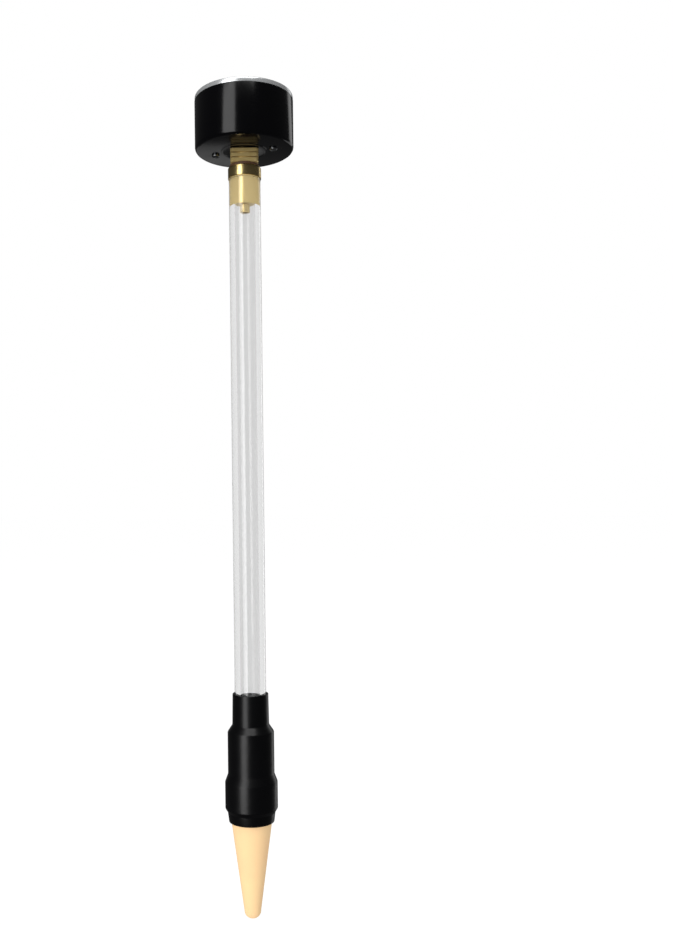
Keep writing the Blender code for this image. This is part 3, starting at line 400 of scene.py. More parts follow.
def round_at(radius):
    """A round section, with the same radius at every angle."""
    return lambda angle: radius


def square_at(cut):
    """The milled square with its turned corners, made smaller by a cut."""
    def radius(angle):
        turned = angle - SHANK_TURN
        flat = (HALF_FLATS - cut) / max(abs(math.cos(turned)), abs(math.sin(turned)))
        return min(flat, SHANK_CORNER - cut)
    return radius


def thread_at(height):
    """The ridge of a right-hand screw, which starts and ends in a groove."""
    def radius(angle):
        turn = ((height - thread_low) / THREAD_PITCH - angle / (2 * math.pi)) % 1.0
        ridge = THREAD_DEPTH * (1 - abs(2 * turn - 1))
        room = min(height - thread_low, shank_low - height) * RUN_OUT
        return thread_root + min(ridge, max(room, 0.0))
    return radius


def loft(name, rings, around=AROUND):
    """Joins rings of (height, radius at an angle) into a closed form, capped at both ends."""
    form = bmesh.new()
    made = []
    for height, radius_at in rings:
        ring = []
        for i in range(around):
            angle = SHANK_TURN + 2 * math.pi * i / around
            radius = radius_at(angle) * MM
            ring.append(form.verts.new((radius * math.cos(angle), radius * math.sin(angle), height * MM)))
        made.append(ring)
    for lower, upper in zip(made, made[1:]):
        for i in range(around):
            j = (i + 1) % around
            form.faces.new((lower[i], lower[j], upper[j], upper[i]))
    form.faces.new(made[0][::-1])
    form.faces.new(made[-1])
    return solid(name, form, sharp=30)


stem_rings = [(thread_low + STEM_BORE_DEPTH, round_at(STEM_BORE)), (thread_low, round_at(STEM_BORE))]
ring_count = round(THREAD_LENGTH / THREAD_PITCH * RINGS_A_TURN)
for step in range(ring_count + 1):
    height = thread_low + THREAD_LENGTH * step / ring_count
    stem_rings.append((height, thread_at(height)))
stem_rings += [(shank_low, square_at(SHANK_CHAMFER)), (shank_low + SHANK_CHAMFER, square_at(0))]
for groove in GROOVES:
    middle = shank_low + groove
    stem_rings += [
        (middle - GROOVE_HALF, square_at(0)), (middle - GROOVE_FLOOR_HALF, round_at(GROOVE_RADIUS)),
        (middle + GROOVE_FLOOR_HALF, round_at(GROOVE_RADIUS)), (middle + GROOVE_HALF, square_at(0)),
    ]
shank_high = case_back - SHANK_GAP
stem_rings += [
    (shank_high - SHANK_CHAMFER, square_at(0)), (shank_high, square_at(SHANK_CHAMFER)),
    (shank_high, round_at(NECK)), (case_back + BAR_LEVEL, round_at(NECK)),
]

milled_brass, tree = start_material("milled_brass")
place = add(tree, "TexCoord").outputs["Object"]
tarnish = add(tree, "TexNoise", {"Vector": place, "Scale": 1 / (3 * MM), "Detail": 3.0})
metal = add(tree, "MixRGB", {
    "Fac": tarnish.outputs["Fac"], "Color1": linear("#dcc68c"), "Color2": linear("#c8ac6a"),
})
cutter = add(tree, "TexNoise", {"Vector": place, "Scale": 1 / (0.3 * MM), "Detail": 1.0})
relief = add(tree, "Bump", {"Height": cutter.outputs["Fac"], "Distance": 0.01 * MM, "Strength": 0.2})
surface = add(tree, "BsdfPrincipled", {
    "Base Color": metal.outputs["Color"], "Metallic": 0.75, "Roughness": 0.34,
    "Normal": relief.outputs["Normal"],
})
add(tree, "OutputMaterial", {"Surface": surface.outputs["BSDF"]})

stem = loft("gauge_stem", stem_rings)
fit(stem, milled_brass, "gauge", "brass", "gauge_socket")


# Gauge frame, the stem's upper end inside the case: a bar that the back screws pull down and
# a block that holds the Bourdon tube's root and the dial. Cast with the stem, and sandy.


def worn_metal(name, light, dark, patch, smooth, rough, grain):
    """A bare metal with cloudy patches of tarnish and a fine grain, both in millimetres."""
    made, tree = start_material(name)
    place = add(tree, "TexCoord").outputs["Object"]
    patches = add(tree, "TexNoise", {"Vector": place, "Scale": 1 / (patch * MM), "Detail": 3.0})
    tone = add(tree, "MixRGB", {
        "Fac": patches.outputs["Fac"], "Color1": linear(light), "Color2": linear(dark),
    })
    polish = add(tree, "MapRange", {"Value": patches.outputs["Fac"], "To Min": smooth, "To Max": rough})
    grains = add(tree, "TexNoise", {"Vector": place, "Scale": 1 / (grain * MM), "Detail": 2.0})
    relief = add(tree, "Bump", {"Height": grains.outputs["Fac"], "Distance": 0.01 * MM, "Strength": 0.4})
    surface = add(tree, "BsdfPrincipled", {
        "Base Color": tone.outputs["Color"], "Metallic": 1.0, "Roughness": polish.outputs["Result"],
        "Normal": relief.outputs["Normal"],
    })
    add(tree, "OutputMaterial", {"Surface": surface.outputs["BSDF"]})
    return made


def circle_at(x, y, radius, start=0, end=360, steps=24):
    """Points along an arc, in millimetres and degrees."""
    turns = [math.radians(start + (end - start) * i / steps) for i in range(steps + 1)]
    return [(x + radius * math.cos(a), y + radius * math.sin(a)) for a in turns]


def prisms(name, outlines, low, high, bevel=0.0):
    """Flat pieces of one thickness from outlines in millimetres, with their edges broken."""
    form = bmesh.new()
    for outline in outlines:
        bottom = [form.verts.new((x * MM, y * MM, low * MM)) for x, y in outline]
        top = [form.verts.new((x * MM, y * MM, high * MM)) for x, y in outline]
        form.faces.new(bottom[::-1])
        form.faces.new(top)
        for i in range(len(outline)):
            j = (i + 1) % len(outline)
            form.faces.new((bottom[i], bottom[j], top[j], top[i]))
    if bevel:
        rims = [
            side for side in form.edges
            if side.calc_face_angle(0) > 1.0 and abs(side.verts[0].co.z - side.verts[1].co.z) < 1e-9
        ]
        bmesh.ops.bevel(form, geom=rims, offset=bevel * MM, segments=2, profile=0.5, affect="EDGES")
    return solid(name, form)


cast_brass = worn_metal("cast_brass", "#dcbb6a", "#bd984c", 4.0, 0.38, 0.55, 0.15)
BAR_END, BAR_STRAIGHT, BAR_THICK, CAST_EDGE = 5.0, 13.0, 3.5, 0.3
TAB_LEFT, TAB_RIGHT, TAB_REACH = -8.5, 5.6, -17.0
BLOCK_LEFT, BLOCK_RIGHT, BLOCK_FRONT, BLOCK_BACK, BLOCK_TOP = -9.5, 6.0, -17.5, -13.2, 16.2
bar_low = case_back + BAR_LEVEL
bar_high = case_back + BAR_LEVEL + BAR_THICK
right_end = circle_at(BAR_STRAIGHT, 0, BAR_END, -90, 90)
left_end = circle_at(-BAR_STRAIGHT, 0, BAR_END, 90, 270)[:-1] + [(-BAR_STRAIGHT, -BAR_END)]
tab = [(TAB_LEFT, -BAR_END), (TAB_LEFT, TAB_REACH), (TAB_RIGHT, TAB_REACH), (TAB_RIGHT, -BAR_END)]
bar = prisms("gauge_frame_bar", [right_end + left_end + tab], bar_low, bar_high, CAST_EDGE)
fit(bar, cast_brass, "gauge", "brass")
block_outline = [
    (BLOCK_LEFT, BLOCK_FRONT), (BLOCK_RIGHT, BLOCK_FRONT),
    (BLOCK_RIGHT, BLOCK_BACK), (BLOCK_LEFT, BLOCK_BACK),
]
block = prisms("bourdon_root_block", [block_outline], bar_high, case_back + BLOCK_TOP, CAST_EDGE)
fit(block, cast_brass, "gauge", "brass")


# Case. A cup drawn from steel sheet, with a soft back edge and a ring pressed up round the
# stem, stove enamelled black. The enamel is glossy with a slight orange peel.

PEEL = 1.1 * MM
black_enamel, tree = start_material("stoved_black_enamel")
place = add(tree, "TexCoord").outputs["Object"]
peel = add(tree, "TexNoise", {"Vector": place, "Scale": 1 / PEEL, "Detail": 2.0})
relief = add(tree, "Bump", {"Height": peel.outputs["Fac"], "Distance": 0.01 * MM, "Strength": 0.5})
haze = add(tree, "TexNoise", {"Vector": place, "Scale": 1 / (9 * MM), "Detail": 4.0})
gloss = add(tree, "MapRange", {"Value": haze.outputs["Fac"], "To Min": 0.10, "To Max": 0.20})
surface = add(tree, "BsdfPrincipled", {
    "Base Color": linear("#020203"), "Roughness": gloss.outputs["Result"], "IOR": 1.36,
    "Normal": relief.outputs["Normal"],
})
add(tree, "OutputMaterial", {"Surface": surface.outputs["BSDF"]})


def cut(piece, *cutters):
    """Cuts the cutters out of a piece for good and takes them away."""
    for cutter in cutters:
        opening = piece.modifiers.new("cut", "BOOLEAN")
        opening.operation = "DIFFERENCE"
        opening.solver = "EXACT"
        opening.object = cutter
    graph = bpy.context.evaluated_depsgraph_get()
    mesh = bpy.data.meshes.new_from_object(piece.evaluated_get(graph))
    piece.modifiers.clear()
    piece.data = mesh
    mesh.set_sharp_from_angle(angle=math.radians(35))
    for cutter in cutters:
        bpy.data.objects.remove(cutter, do_unlink=True)
    return piece


_, rim, case_radius = span("case")
CASE_WALL, CASE_FLOOR, BACK_FILLET, RING_IN, RING_OUT, RING_SLOPE = 0.9, 1.0, 1.8, 10.6, 11.6, 0.3
case_inside = case_radius - CASE_WALL
case = lathe("case_cup", [
    (case_radius, rim, 0.15), (case_radius, case_back, BACK_FILLET),
    (RING_OUT + RING_SLOPE, case_back, 0.2), (RING_OUT, case_back - RING_RISE, 0.15),
    (RING_IN, case_back - RING_RISE, 0.15), (RING_IN - RING_SLOPE, case_back, 0.2),
    (NECK + TIGHT, case_back, 0.1), (NECK + TIGHT, case_back + CASE_FLOOR),
    (case_inside, case_back + CASE_FLOOR, 1.2), (case_inside, rim, 0.1),
], ROUND_CASE)
BACK_SCREW, BACK_SCREW_SHANK, BACK_HEAD = 15.3, 1.2, 2.0
HOLE_REACH, HOLE_ROUND = 3.0, 24
hole_radius = BACK_SCREW_SHANK + 0.1
hole_line = [
    (0, case_back + HOLE_REACH), (hole_radius, case_back + HOLE_REACH),
    (hole_radius, case_back - HOLE_REACH), (0, case_back - HOLE_REACH),
]
cut(case, *(lathe("hole", hole_line, HOLE_ROUND, (side * BACK_SCREW, 0)) for side in (-1, 1)))
fit(case, black_enamel, "gauge", "black_paint", "case")


# Back screws. Two slotted pan heads of zinc plated steel, which pull the case onto the frame.
# The plating has gone grey, with a faint haze.

zinc_steel = worn_metal("zinc_plated_steel", "#8c8e90", "#6a6c6e", 1.2, 0.22, 0.38, 0.15)


def bar_cutter(x, y, low, high, length, width, turn):
    """A bar that cuts a screwdriver's slot, laid across a screw's head."""
    across, along = math.cos(math.radians(turn)), math.sin(math.radians(turn))
    corners = [
        (x + sx * length * across - sy * width * along, y + sx * length * along + sy * width * across)
        for sx, sy in ((-0.5, -0.5), (0.5, -0.5), (0.5, 0.5), (-0.5, 0.5))
    ]
    return prisms("slot", [corners], low, high)


HEAD_FLAT, HEAD_SHOULDER, HEAD_ROUNDING, SLOT_DEPTH = 0.55, 0.35, 0.3, 0.55  # shares of the head
SCREW_ROUND = 48


def screw(name, at, seat, height, head, shank, length, slots, facing=1):
    """A pan head screw. Its slots are (length, width, turn) and facing is -1 for head down."""
    end = seat + facing * height
    foot = seat - facing * length
    shoulder = end - facing * height * HEAD_SHOULDER
    piece = lathe(name, [
        (0, end), (head * HEAD_FLAT, end), (head, shoulder, head * HEAD_ROUNDING),
        (head, seat, 0.08), (shank, seat), (shank, foot, 0.2), (0, foot),
    ], SCREW_ROUND, at)
    low, high = sorted((end - facing * height * SLOT_DEPTH, end + facing))
    for long, wide, turn in slots:
        cut(piece, bar_cutter(*at, low, high, long, wide, turn))
    return piece


for name, side, turn in (("left", -1, 35), ("right", 1, -62)):
    piece = screw(
        f"back_screw_{name}_head", (side * BACK_SCREW, 0), case_back - TIGHT, height=1.2, head=BACK_HEAD,
        shank=BACK_SCREW_SHANK, length=3.9, slots=[(6.0, 0.6, turn)], facing=-1,
    )
    fit(piece, zinc_steel, "gauge", "steel", f"back_screw_{name}")


# Bourdon tube. A phosphor bronze tube, flattened and bent to a C, soldered into the root
# block and shut at its tip. Suction curls it tighter.

drawn_bronze = worn_metal("drawn_phosphor_bronze", "#c08a55", "#9a6536", 3.0, 0.22, 0.42, 0.2)
BEND, TUBE_HALF_WIDTH, TUBE_HALF_HEIGHT, TUBE_MIDDLE = 16.5, 1.2, 3.5, 11.5
ROOT_ANGLE, TIP_ANGLE, BEND_STEPS = 244.5, -15.0, 90
crown = TUBE_HALF_HEIGHT - TUBE_HALF_WIDTH
section = circle_at(0, crown, TUBE_HALF_WIDTH, 0, 180, 8)
section += circle_at(0, -crown, TUBE_HALF_WIDTH, 180, 360, 8)
tube_level = case_back + TUBE_MIDDLE
form = bmesh.new()
loops = []
for step in range(BEND_STEPS + 1):
    angle = math.radians(ROOT_ANGLE + (TIP_ANGLE - ROOT_ANGLE) * step / BEND_STEPS)
    across, along = math.cos(angle) * MM, math.sin(angle) * MM
    loops.append([
        form.verts.new(((BEND + out) * across, (BEND + out) * along, (tube_level + up) * MM))
        for out, up in section
    ])
for one, next_one in zip(loops, loops[1:]):
    for i in range(len(section)):
        j = (i + 1) % len(section)
        form.faces.new((one[i], one[j], next_one[j], next_one[i]))
form.faces.new(loops[0])
form.faces.new(loops[-1][::-1])
bourdon = solid("bourdon_c_tube", form)
bourdon.data.materials.append(drawn_bronze)
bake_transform(bourdon)
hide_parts("bourdon_tube")


# Movement. Stamped brass plates, link, sector and collet, hobbed teeth, turned pillars and
# steel pins and arbors. Stamping leaves them flat and bright, with a little tarnish.

stamped_brass = worn_metal("stamped_brass", "#e0c27a", "#bb9444", 2.5, 0.2, 0.4, 0.12)
ground_steel = worn_metal("ground_steel", "#b9bbbd", "#8f9193", 1.0, 0.15, 0.3, 0.08)
for material, kept in (
    (stamped_brass, (
        "bourdon_tip", "connecting_link", "sector_gear", "pinion_arbor",
        "hairspring_collet", "hairspring_stud", "movement_bottom_plate", "movement_top_plate",
        "movement_pillar_left", "movement_pillar_right", "restrictor_screw",
    )),
    (ground_steel, (
        "link_pin_tip", "link_pin_sector", "sector_arbor", "movement_screw_left", "movement_screw_right",
    )),
    (drawn_bronze, ("hairspring",)),
):
    for node in kept:
        nodes[node].data.materials.clear()
        nodes[node].data.materials.append(material)


# Dial. An aluminium plate, enamelled white and screen printed in six colours. The ink stands
# a hair proud of the enamel, which is matt and very slightly mottled.

INK_LIFT, INK = 0.01, 0.03  # over the enamel, and of one print
PRINT_SMOOTH, PRINT_ROUGH = 0.42, 0.58


def printed(name, colour):
    """Enamel or ink: an even colour whose gloss is cloudy, as screen printing leaves it."""
    made, tree = start_material(name)
    place = add(tree, "TexCoord").outputs["Object"]
    cloud = add(tree, "TexNoise", {"Vector": place, "Scale": 1 / (3 * MM), "Detail": 3.0})
    sheen = add(tree, "MapRange", {
        "Value": cloud.outputs["Fac"], "To Min": PRINT_SMOOTH, "To Max": PRINT_ROUGH,
    })
    grain = add(tree, "TexNoise", {"Vector": place, "Scale": 1 / (0.25 * MM), "Detail": 2.0})
    relief = add(tree, "Bump", {"Height": grain.outputs["Fac"], "Distance": 0.004 * MM, "Strength": 0.3})
    surface = add(tree, "BsdfPrincipled", {
        "Base Color": linear(colour), "Roughness": sheen.outputs["Result"], "IOR": 1.5,
        "Normal": relief.outputs["Normal"],
    })
    add(tree, "OutputMaterial", {"Surface": surface.outputs["BSDF"]})
    return made


nodes["dial"].data.materials.clear()
nodes["dial"].data.materials.append(printed("white_dial_enamel", "#e9eae9"))
dial_face = span("dial")[1]
print_low = dial_face + INK_LIFT
BAND_IN, BAND_OUT, ZERO_ANGLE, DEGREES_A_MBAR = 17.6, 19.6, -45.0, 0.45
BLUE_END, GREEN_THINS, YELLOW_FULL, YELLOW_THINS, RED_FULL, FULL_SCALE = 90, 340, 430, 490, 560, 600


def edge(value, start, end):
    """Where one colour takes over from the next, moving from the band's inside to its outside."""
    share = min(max((value - start) / (end - start), 0.0), 1.0)
    return BAND_IN + (BAND_OUT - BAND_IN) * share


def on_scale(value, radius):
    """The place of a value on the dial, at a radius."""
    angle = math.radians(ZERO_ANGLE + DEGREES_A_MBAR * value)
    return (radius * math.cos(angle), radius * math.sin(angle))


def band(name, material, start, end, inner, outer):
    """A coloured stretch of the scale, between two radii that depend on the value."""
    values = [start + (end - start) * i / 40 for i in range(41)]
    outline = [on_scale(v, outer(v)) for v in values]
    outline += [on_scale(v, inner(v)) for v in reversed(values) if outer(v) - inner(v) > 1e-3]
    fit(prisms(name, [outline], print_low, print_low + INK), material, "gauge", "dial_white")


band("scale_blue", printed("blue_ink", "#2c86c9"), 0, BLUE_END,
     lambda v: BAND_IN, lambda v: BAND_OUT)
band("scale_green", printed("green_ink", "#4fa449"), BLUE_END, YELLOW_FULL,
     lambda v: edge(v, GREEN_THINS, YELLOW_FULL), lambda v: BAND_OUT)
band("scale_yellow_rise", printed("yellow_ink", "#d9b13c"), GREEN_THINS, YELLOW_THINS,
     lambda v: BAND_IN, lambda v: edge(v, GREEN_THINS, YELLOW_FULL))
band("scale_yellow_fall", bpy.data.materials["yellow_ink"], YELLOW_THINS, RED_FULL,
     lambda v: edge(v, YELLOW_THINS, RED_FULL), lambda v: BAND_OUT)
band("scale_red", printed("red_ink", "#e2504d"), YELLOW_THINS, FULL_SCALE,
     lambda v: BAND_IN, lambda v: edge(v, YELLOW_THINS, RED_FULL))


def tick(value, inner, outer, width):
    """The outline of a stroke across the scale at a value, between two radii."""
    along = Vector(on_scale(value, 1))
    across = Vector((-along.y, along.x)) * width / 2
    return [tuple(along * r + across * s) for r, s in ((inner, -1), (outer, -1), (outer, 1), (inner, 1))]


LINE_WIDTH, LINE_INK = 0.22, 0.01
MARK_IN, MARK_WIDTH, HALF_MARK_IN, HALF_MARK_WIDTH, MARK_OUT = 15.7, 1.1, 16.4, 0.3, BAND_IN - 0.02
navy_ink = printed("navy_ink", "#23243a")
line_low = print_low + INK
lines = [tick(v, BAND_IN, BAND_OUT, LINE_WIDTH) for v in range(0, FULL_SCALE + 1, 10)]
fit(prisms("scale_lines", lines, line_low, line_low + LINE_INK), navy_ink, "gauge", "dial_white")
marks = [tick(v, MARK_IN, MARK_OUT, MARK_WIDTH) for v in range(0, FULL_SCALE + 1, 100)]
marks += [tick(v, HALF_MARK_IN, MARK_OUT, HALF_MARK_WIDTH) for v in range(50, FULL_SCALE, 100)]
fit(prisms("scale_marks", marks, print_low, print_low + INK), navy_ink, "gauge", "dial_white")

DIGIT_HEIGHT, UNIT_HEIGHT, NARROW = 3.0, 2.2, 0.86
CAP_SHARE = 0.7  # a capital's height, of the font's size
charcoal_ink = printed("charcoal_ink", "#3e4044")


def lettering(name, text, x, y, height, weight=0.05):
    """A printed word, centred at a place on the dial and thickened by a weight."""
    curve = bpy.data.curves.new(name, "FONT")
    curve.body = text
    curve.size = height / CAP_SHARE * MM
    curve.extrude = INK / 2 * MM
    curve.offset = weight * MM
    curve.align_x, curve.align_y = "CENTER", "CENTER"
    made = bpy.data.objects.new(name, curve)
    made.location = (x * MM, y * MM, (print_low + INK / 2) * MM)
    made.scale = (NARROW, 1.0, 1.0)
    bpy.context.scene.collection.objects.link(made)
    fit(made, charcoal_ink, "gauge", "dial_white")


NUMBER_PLACES = {
    0: (11.5, -8.1), 100: (12.2, 0.2), 200: (9.9, 8.3), 300: (0, 14.2), 400: (-9.9, 8.3), 500: (-11.7, 0),
    600: (-9.5, -8.9),
}
for number, (x, y) in NUMBER_PLACES.items():
    lettering(f"number_{number}", f"-{number}" if number else "0", x, y, DIGIT_HEIGHT)
lettering("unit", "mbar/hPa", 0, -5.5, UNIT_HEIGHT, 0.02)


# Dial screws. Two small cross recessed pan heads of plated steel, through the dial into the
# root block.

DIAL_SCREW_ASIDE, DIAL_SCREW_FRONT, CROSS_LENGTH, CROSS_WIDTH = 4.6, -14.8, 1.9, 0.36
for name, side, turn in (("left", -1, 20), ("right", 1, 55)):
    piece = screw(
        f"dial_screw_{name}_head", (side * DIAL_SCREW_ASIDE, DIAL_SCREW_FRONT), dial_face + TIGHT,
        height=1.1, head=1.6, shank=0.75, length=3.5,
        slots=[(CROSS_LENGTH, CROSS_WIDTH, turn), (CROSS_LENGTH, CROSS_WIDTH, turn + 90)],
    )
    fit(piece, zinc_steel, "gauge", "steel", f"dial_screw_{name}")


# Pointer. A needle and its fan tail, stamped from thin aluminium and anodised black, on a
# turned hub that is pressed on the arbor.

anodised_black, tree = start_material("black_anodised_aluminium")
place = add(tree, "TexCoord").outputs["Object"]
rolled = add(tree, "Mapping", {"Vector": place, "Rotation": (0.0, 0.0, 0.8), "Scale": (0.1, 1.0, 1.0)})
grain = add(tree, "TexNoise", {"Vector": rolled.outputs["Vector"], "Scale": 1 / (0.3 * MM), "Detail": 2.0})
sheen = add(tree, "MapRange", {"Value": grain.outputs["Fac"], "To Min": 0.38, "To Max": 0.55})
relief = add(tree, "Bump", {"Height": grain.outputs["Fac"], "Distance": 0.005 * MM, "Strength": 0.4})
surface = add(tree, "BsdfPrincipled", {
    "Base Color": linear("#0c0c0d"), "Roughness": sheen.outputs["Result"], "IOR": 1.6,
    "Normal": relief.outputs["Normal"],
})
add(tree, "OutputMaterial", {"Surface": surface.outputs["BSDF"]})

NEEDLE, POINT, POINT_HALF, NEEDLE_LOW, NEEDLE_THICK = 17.6, 0.15, 0.2, 2.0, 0.3
NEEDLE_SIDE = [(-4.7, 1.25), (-2.4, 0.9), (2.4, 0.75)]  # (along, aside), from the tail on
TAIL, TAIL_HALF = 8.6, 21  # its reach, and half its fan in degrees
HUB, HUB_BORE, HUB_LOW, HUB_HIGH = 3.0, 0.55, 1.2, 2.4
needle_low, hub_low, hub_high = dial_face + NEEDLE_LOW, dial_face + HUB_LOW, dial_face + HUB_HIGH
needle = [(NEEDLE, POINT_HALF), (NEEDLE + POINT, 0), (NEEDLE, -POINT_HALF)]
needle += [(x, -y) for x, y in reversed(NEEDLE_SIDE)]
needle += circle_at(0, 0, TAIL, 180 + TAIL_HALF, 180 - TAIL_HALF, 16)
needle += NEEDLE_SIDE
turn = Matrix.Rotation(math.radians(ZERO_ANGLE), 2)
needle = [tuple(turn @ Vector(point)) for point in reversed(needle)]
pointer = prisms("pointer_needle", [needle], needle_low, needle_low + NEEDLE_THICK, 0.06)
fit(pointer, anodised_black, "pointer_shaft", "black_aluminium", "pointer")
hub = lathe("pointer_hub", [
    (HUB, hub_high, 0.25), (HUB, hub_low, 0.15), (HUB_BORE, hub_low), (HUB_BORE, hub_high),
], ROUND_SMALL)
fit(hub, anodised_black, "pointer_shaft", "black_aluminium")


# Pointer cap. Turned from steel bar and polished, with a flat top and a soft shoulder. It
# covers the hub.

polished_steel = worn_metal("polished_steel", "#cfd1d2", "#b8babc", 6.0, 0.08, 0.16, 0.2)
CAP_FLAT, CAP_SHOULDER = 0.5, 0.6  # a share of the radius, and up from the foot
cap_low, cap_high, cap_radius = span("pointer_cap")
cap = lathe("pointer_cap_top", [
    (0, cap_high), (cap_radius * CAP_FLAT, cap_high, 0.3), (cap_radius, cap_low + CAP_SHOULDER, 0.4),
    (cap_radius, hub_high + TIGHT, 0.1), (0, hub_high + TIGHT),
], ROUND_SMALL)
fit(cap, polished_steel, "pointer_shaft", "steel", "pointer_cap")


# Window and its seal. Float glass, ground flat at its edge, on a ring of black rubber that
# keeps the damp out.

_, _, seal_radius = span("window_seal")
glass_low, glass_high, glass_radius = span("window")
SEAL_WIDTH, SEAL_EDGE, GLASS_EDGE, GLASS_BEND = 1.6, 0.3, 0.15, 1.5
seal_low, seal_high, seal_inside = dial_face + TIGHT, glass_low - TIGHT, seal_radius - SEAL_WIDTH
seal = lathe("window_seal_ring", [
    (seal_radius, seal_high, SEAL_EDGE), (seal_radius, seal_low, SEAL_EDGE),
    (seal_inside, seal_low, SEAL_EDGE), (seal_inside, seal_high, SEAL_EDGE),
])
fit(seal, gasket_rubber, "gauge", "rubber", "window_seal")

float_glass, tree = start_material("float_glass")
place = add(tree, "TexCoord").outputs["Object"]
smears = add(tree, "TexNoise", {"Vector": place, "Scale": 1 / (12 * MM), "Detail": 5.0})
film = add(tree, "MapRange", {
    "Value": smears.outputs["Fac"], "From Min": 0.45, "From Max": 0.75, "To Max": 0.12,
})
mirror = add(tree, "BsdfGlossy", {"Color": linear("#ffffff"), "Roughness": film.outputs["Result"]})
through = add(tree, "BsdfTransparent", {"Color": linear("#fafcfb")})
inside = add(tree, "NewGeometry").outputs["Backfacing"]
# The pane doesn't bend what is seen through it, so on the way out the inverse keeps it clear.
bend = add(tree, "MapRange", {"Value": inside, "To Min": GLASS_BEND, "To Max": 1 / GLASS_BEND})
facing = add(tree, "Fresnel", {"IOR": bend.outputs["Result"]})
pane = add(tree, "MixShader", {
    0: facing.outputs["Fac"], 1: through.outputs["BSDF"], 2: mirror.outputs["BSDF"],
})
add(tree, "OutputMaterial", {"Surface": pane.outputs["Shader"]})
window = lathe("window_pane", [
    (0, glass_high), (glass_radius, glass_high, GLASS_EDGE),
    (glass_radius, glass_low, GLASS_EDGE), (0, glass_low),
])
fit(window, float_glass, "gauge", "window_glass", "window")


# Bezel. Rolled from stainless strip and pushed into the case over the window. Satin, with
# fine rings from rolling and a film from handling, which scatters some of the light.

rolled_steel, tree = start_material("rolled_stainless_steel")
place = add(tree, "TexCoord").outputs["Object"]
flat = add(tree, "Mapping", {"Vector": place, "Scale": (1.0, 1.0, 0.0)})
from_axis = add(tree, "VectorMath", {0: flat.outputs["Vector"]}, operation="LENGTH")
rings = add(tree, "TexNoise", {
    "W": from_axis.outputs["Value"], "Scale": 1 / (0.3 * MM), "Detail": 2.0,
}, noise_dimensions="1D")
wear = add(tree, "TexNoise", {"Vector": place, "Scale": 1 / (4 * MM), "Detail": 3.0})
polish = add(tree, "MapRange", {"Value": wear.outputs["Fac"], "To Min": 0.20, "To Max": 0.32})
relief = add(tree, "Bump", {"Height": rings.outputs["Fac"], "Distance": 0.01 * MM, "Strength": 0.4})
tone = add(tree, "MixRGB", {
    "Fac": wear.outputs["Fac"], "Color1": linear("#d6d8d9"), "Color2": linear("#c4c6c8"),
})
surface = add(tree, "BsdfPrincipled", {
    "Base Color": tone.outputs["Color"], "Metallic": 0.75, "Roughness": polish.outputs["Result"],
    "Normal": relief.outputs["Normal"],
})
add(tree, "OutputMaterial", {"Surface": surface.outputs["BSDF"]})

bezel_low, bezel_top, bezel_radius = span("bezel_ring")
BEZEL_WIDTH, SKIRT_GAP, SKIRT_WALL, BEZEL_DROP = 4.2, 0.4, 0.75, 0.5
CREST_OUT, CREST_IN, CREST_FOOT = 1.3, 1.8, 2.3  # in from the bezel's outer edge
skirt_out = case_inside - SKIRT_GAP
skirt_in = skirt_out - SKIRT_WALL
bezel_inside = bezel_radius - BEZEL_WIDTH
lip_low = glass_high + TIGHT
bezel = lathe("bezel_ring_rolled", [
    (bezel_radius - CREST_OUT, bezel_top, 0.5), (bezel_radius, bezel_top - BEZEL_DROP, 0.9),
    (bezel_radius, rim + TIGHT, 0.1), (skirt_out, rim + TIGHT),
    (skirt_out, bezel_low, 0.1), (skirt_in, bezel_low, 0.1), (skirt_in, lip_low),
    (bezel_inside, lip_low, 0.15), (bezel_inside, lip_low + BEZEL_DROP, 0.15),
    (bezel_radius - CREST_FOOT, bezel_top - BEZEL_DROP, 0.8), (bezel_radius - CREST_IN, bezel_top, 0.3),
], ROUND_BEZEL)
fit(bezel, rolled_steel, "gauge", "bezel_steel", "bezel_ring")


# Studio. A plain white floor and sky, a tall soft light on the left, a narrow one behind on
# the right, a low one behind on the left for the case's back and a square one overhead.

plain_floor, tree = start_material("plain_white_floor")
surface = add(tree, "BsdfPrincipled", {
    "Base Color": linear("#5a5a5a"), "Roughness": 0.9,
    "Emission Color": linear("#ffffff"), "Emission Strength": 0.95,
})
add(tree, "OutputMaterial", {"Surface": surface.outputs["BSDF"]})
FLOOR_HALF, FLOOR_DROP = 30.0, 0.001  # metres
form = bmesh.new()
form.faces.new([
    form.verts.new((x * FLOOR_HALF, y * FLOOR_HALF, -FLOOR_DROP))
    for x, y in ((-1, -1), (1, -1), (1, 1), (-1, 1))
])
floor = solid("floor", form)
floor.data.materials.append(plain_floor)
floor.visible_glossy = False
floor.visible_shadow = False

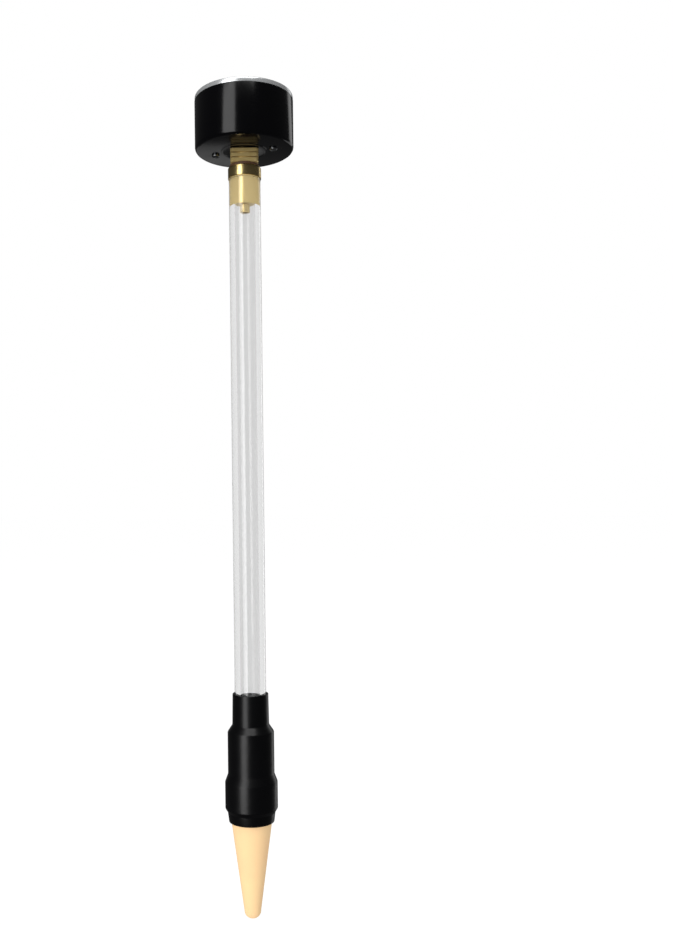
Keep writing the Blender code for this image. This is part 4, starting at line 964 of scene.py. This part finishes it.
SKY_SEEN, SKY_ON_MATT, SKY_ON_GLOSS = 1.0, 0.5, 0.06  # bright behind, dim in reflections
world = bpy.data.worlds.new("plain_sky")
bpy.context.scene.world = world
world.use_nodes = True
tree = world.node_tree
tree.nodes.clear()
path = add(tree, "LightPath")
seen = add(tree, "Math", {
    0: path.outputs["Is Camera Ray"], 1: path.outputs["Is Transmission Ray"],
}, operation="MAXIMUM")
matt = add(tree, "Mix", {0: path.outputs["Is Diffuse Ray"], 2: SKY_ON_GLOSS, 3: SKY_ON_MATT})
strength = add(tree, "Mix", {0: seen.outputs["Value"], 2: matt.outputs[0], 3: SKY_SEEN})
sky = add(tree, "Background", {"Color": linear("#ffffff"), "Strength": strength.outputs[0]})
add(tree, "OutputWorld", {"Surface": sky.outputs["Background"]})


def softbox(name, at, aim, width, height, radiance, through_glass=False):
    """An even rectangular light at a place in metres, aimed at another."""
    lamp = bpy.data.lights.new(name, "AREA")
    lamp.shape, lamp.size, lamp.size_y = "RECTANGLE", width, height
    lamp.energy = radiance * math.pi * width * height
    made = bpy.data.objects.new(name, lamp)
    made.location = at
    made.rotation_euler = (Vector(aim) - Vector(at)).to_track_quat("-Z", "Y").to_euler()
    made.visible_camera = False
    made.visible_transmission = through_glass
    bpy.context.scene.collection.objects.link(made)


softbox("tall_left", (-0.35, -1.15, 0.35), (0, 0, 0.35), 0.6, 1.8, 3.6, through_glass=True)
softbox("narrow_back_right", (0.55, 1.07, 0.35), (0, 0, 0.35), 0.4, 1.8, 1.0)
softbox("low_back_left", (-0.54, 0.9, 0.06), (0, 0, 0.39), 0.5, 0.3, 0.35)
softbox("overhead", (0.1, -0.45, 1.3), (0, 0, 0.4), 1.0, 1.0, 3.2)

CAMERA_AWAY, CAMERA_SIDE, CAMERA_HEIGHT, CAMERA_ROLL = 0.493, 17.0, 0.206, -0.65  # metres, degrees
lens = bpy.data.cameras.new("camera")
lens.lens, lens.sensor_width, lens.sensor_fit = 37.79, 36.0, "AUTO"
lens.shift_x, lens.shift_y = 0.0953, 0.0535
camera = bpy.data.objects.new("camera", lens)
side = math.radians(CAMERA_SIDE)
roll = Matrix.Rotation(math.radians(CAMERA_ROLL), 3, "Z")
facing = Euler((math.radians(90), 0, side)).to_matrix() @ roll
stand = (CAMERA_AWAY * math.sin(side), -CAMERA_AWAY * math.cos(side), CAMERA_HEIGHT)
camera.matrix_world = Matrix.Translation(stand) @ facing.to_4x4()
bpy.context.scene.collection.objects.link(camera)
bpy.context.scene.camera = camera
bpy.context.scene.view_settings.view_transform = "Standard"
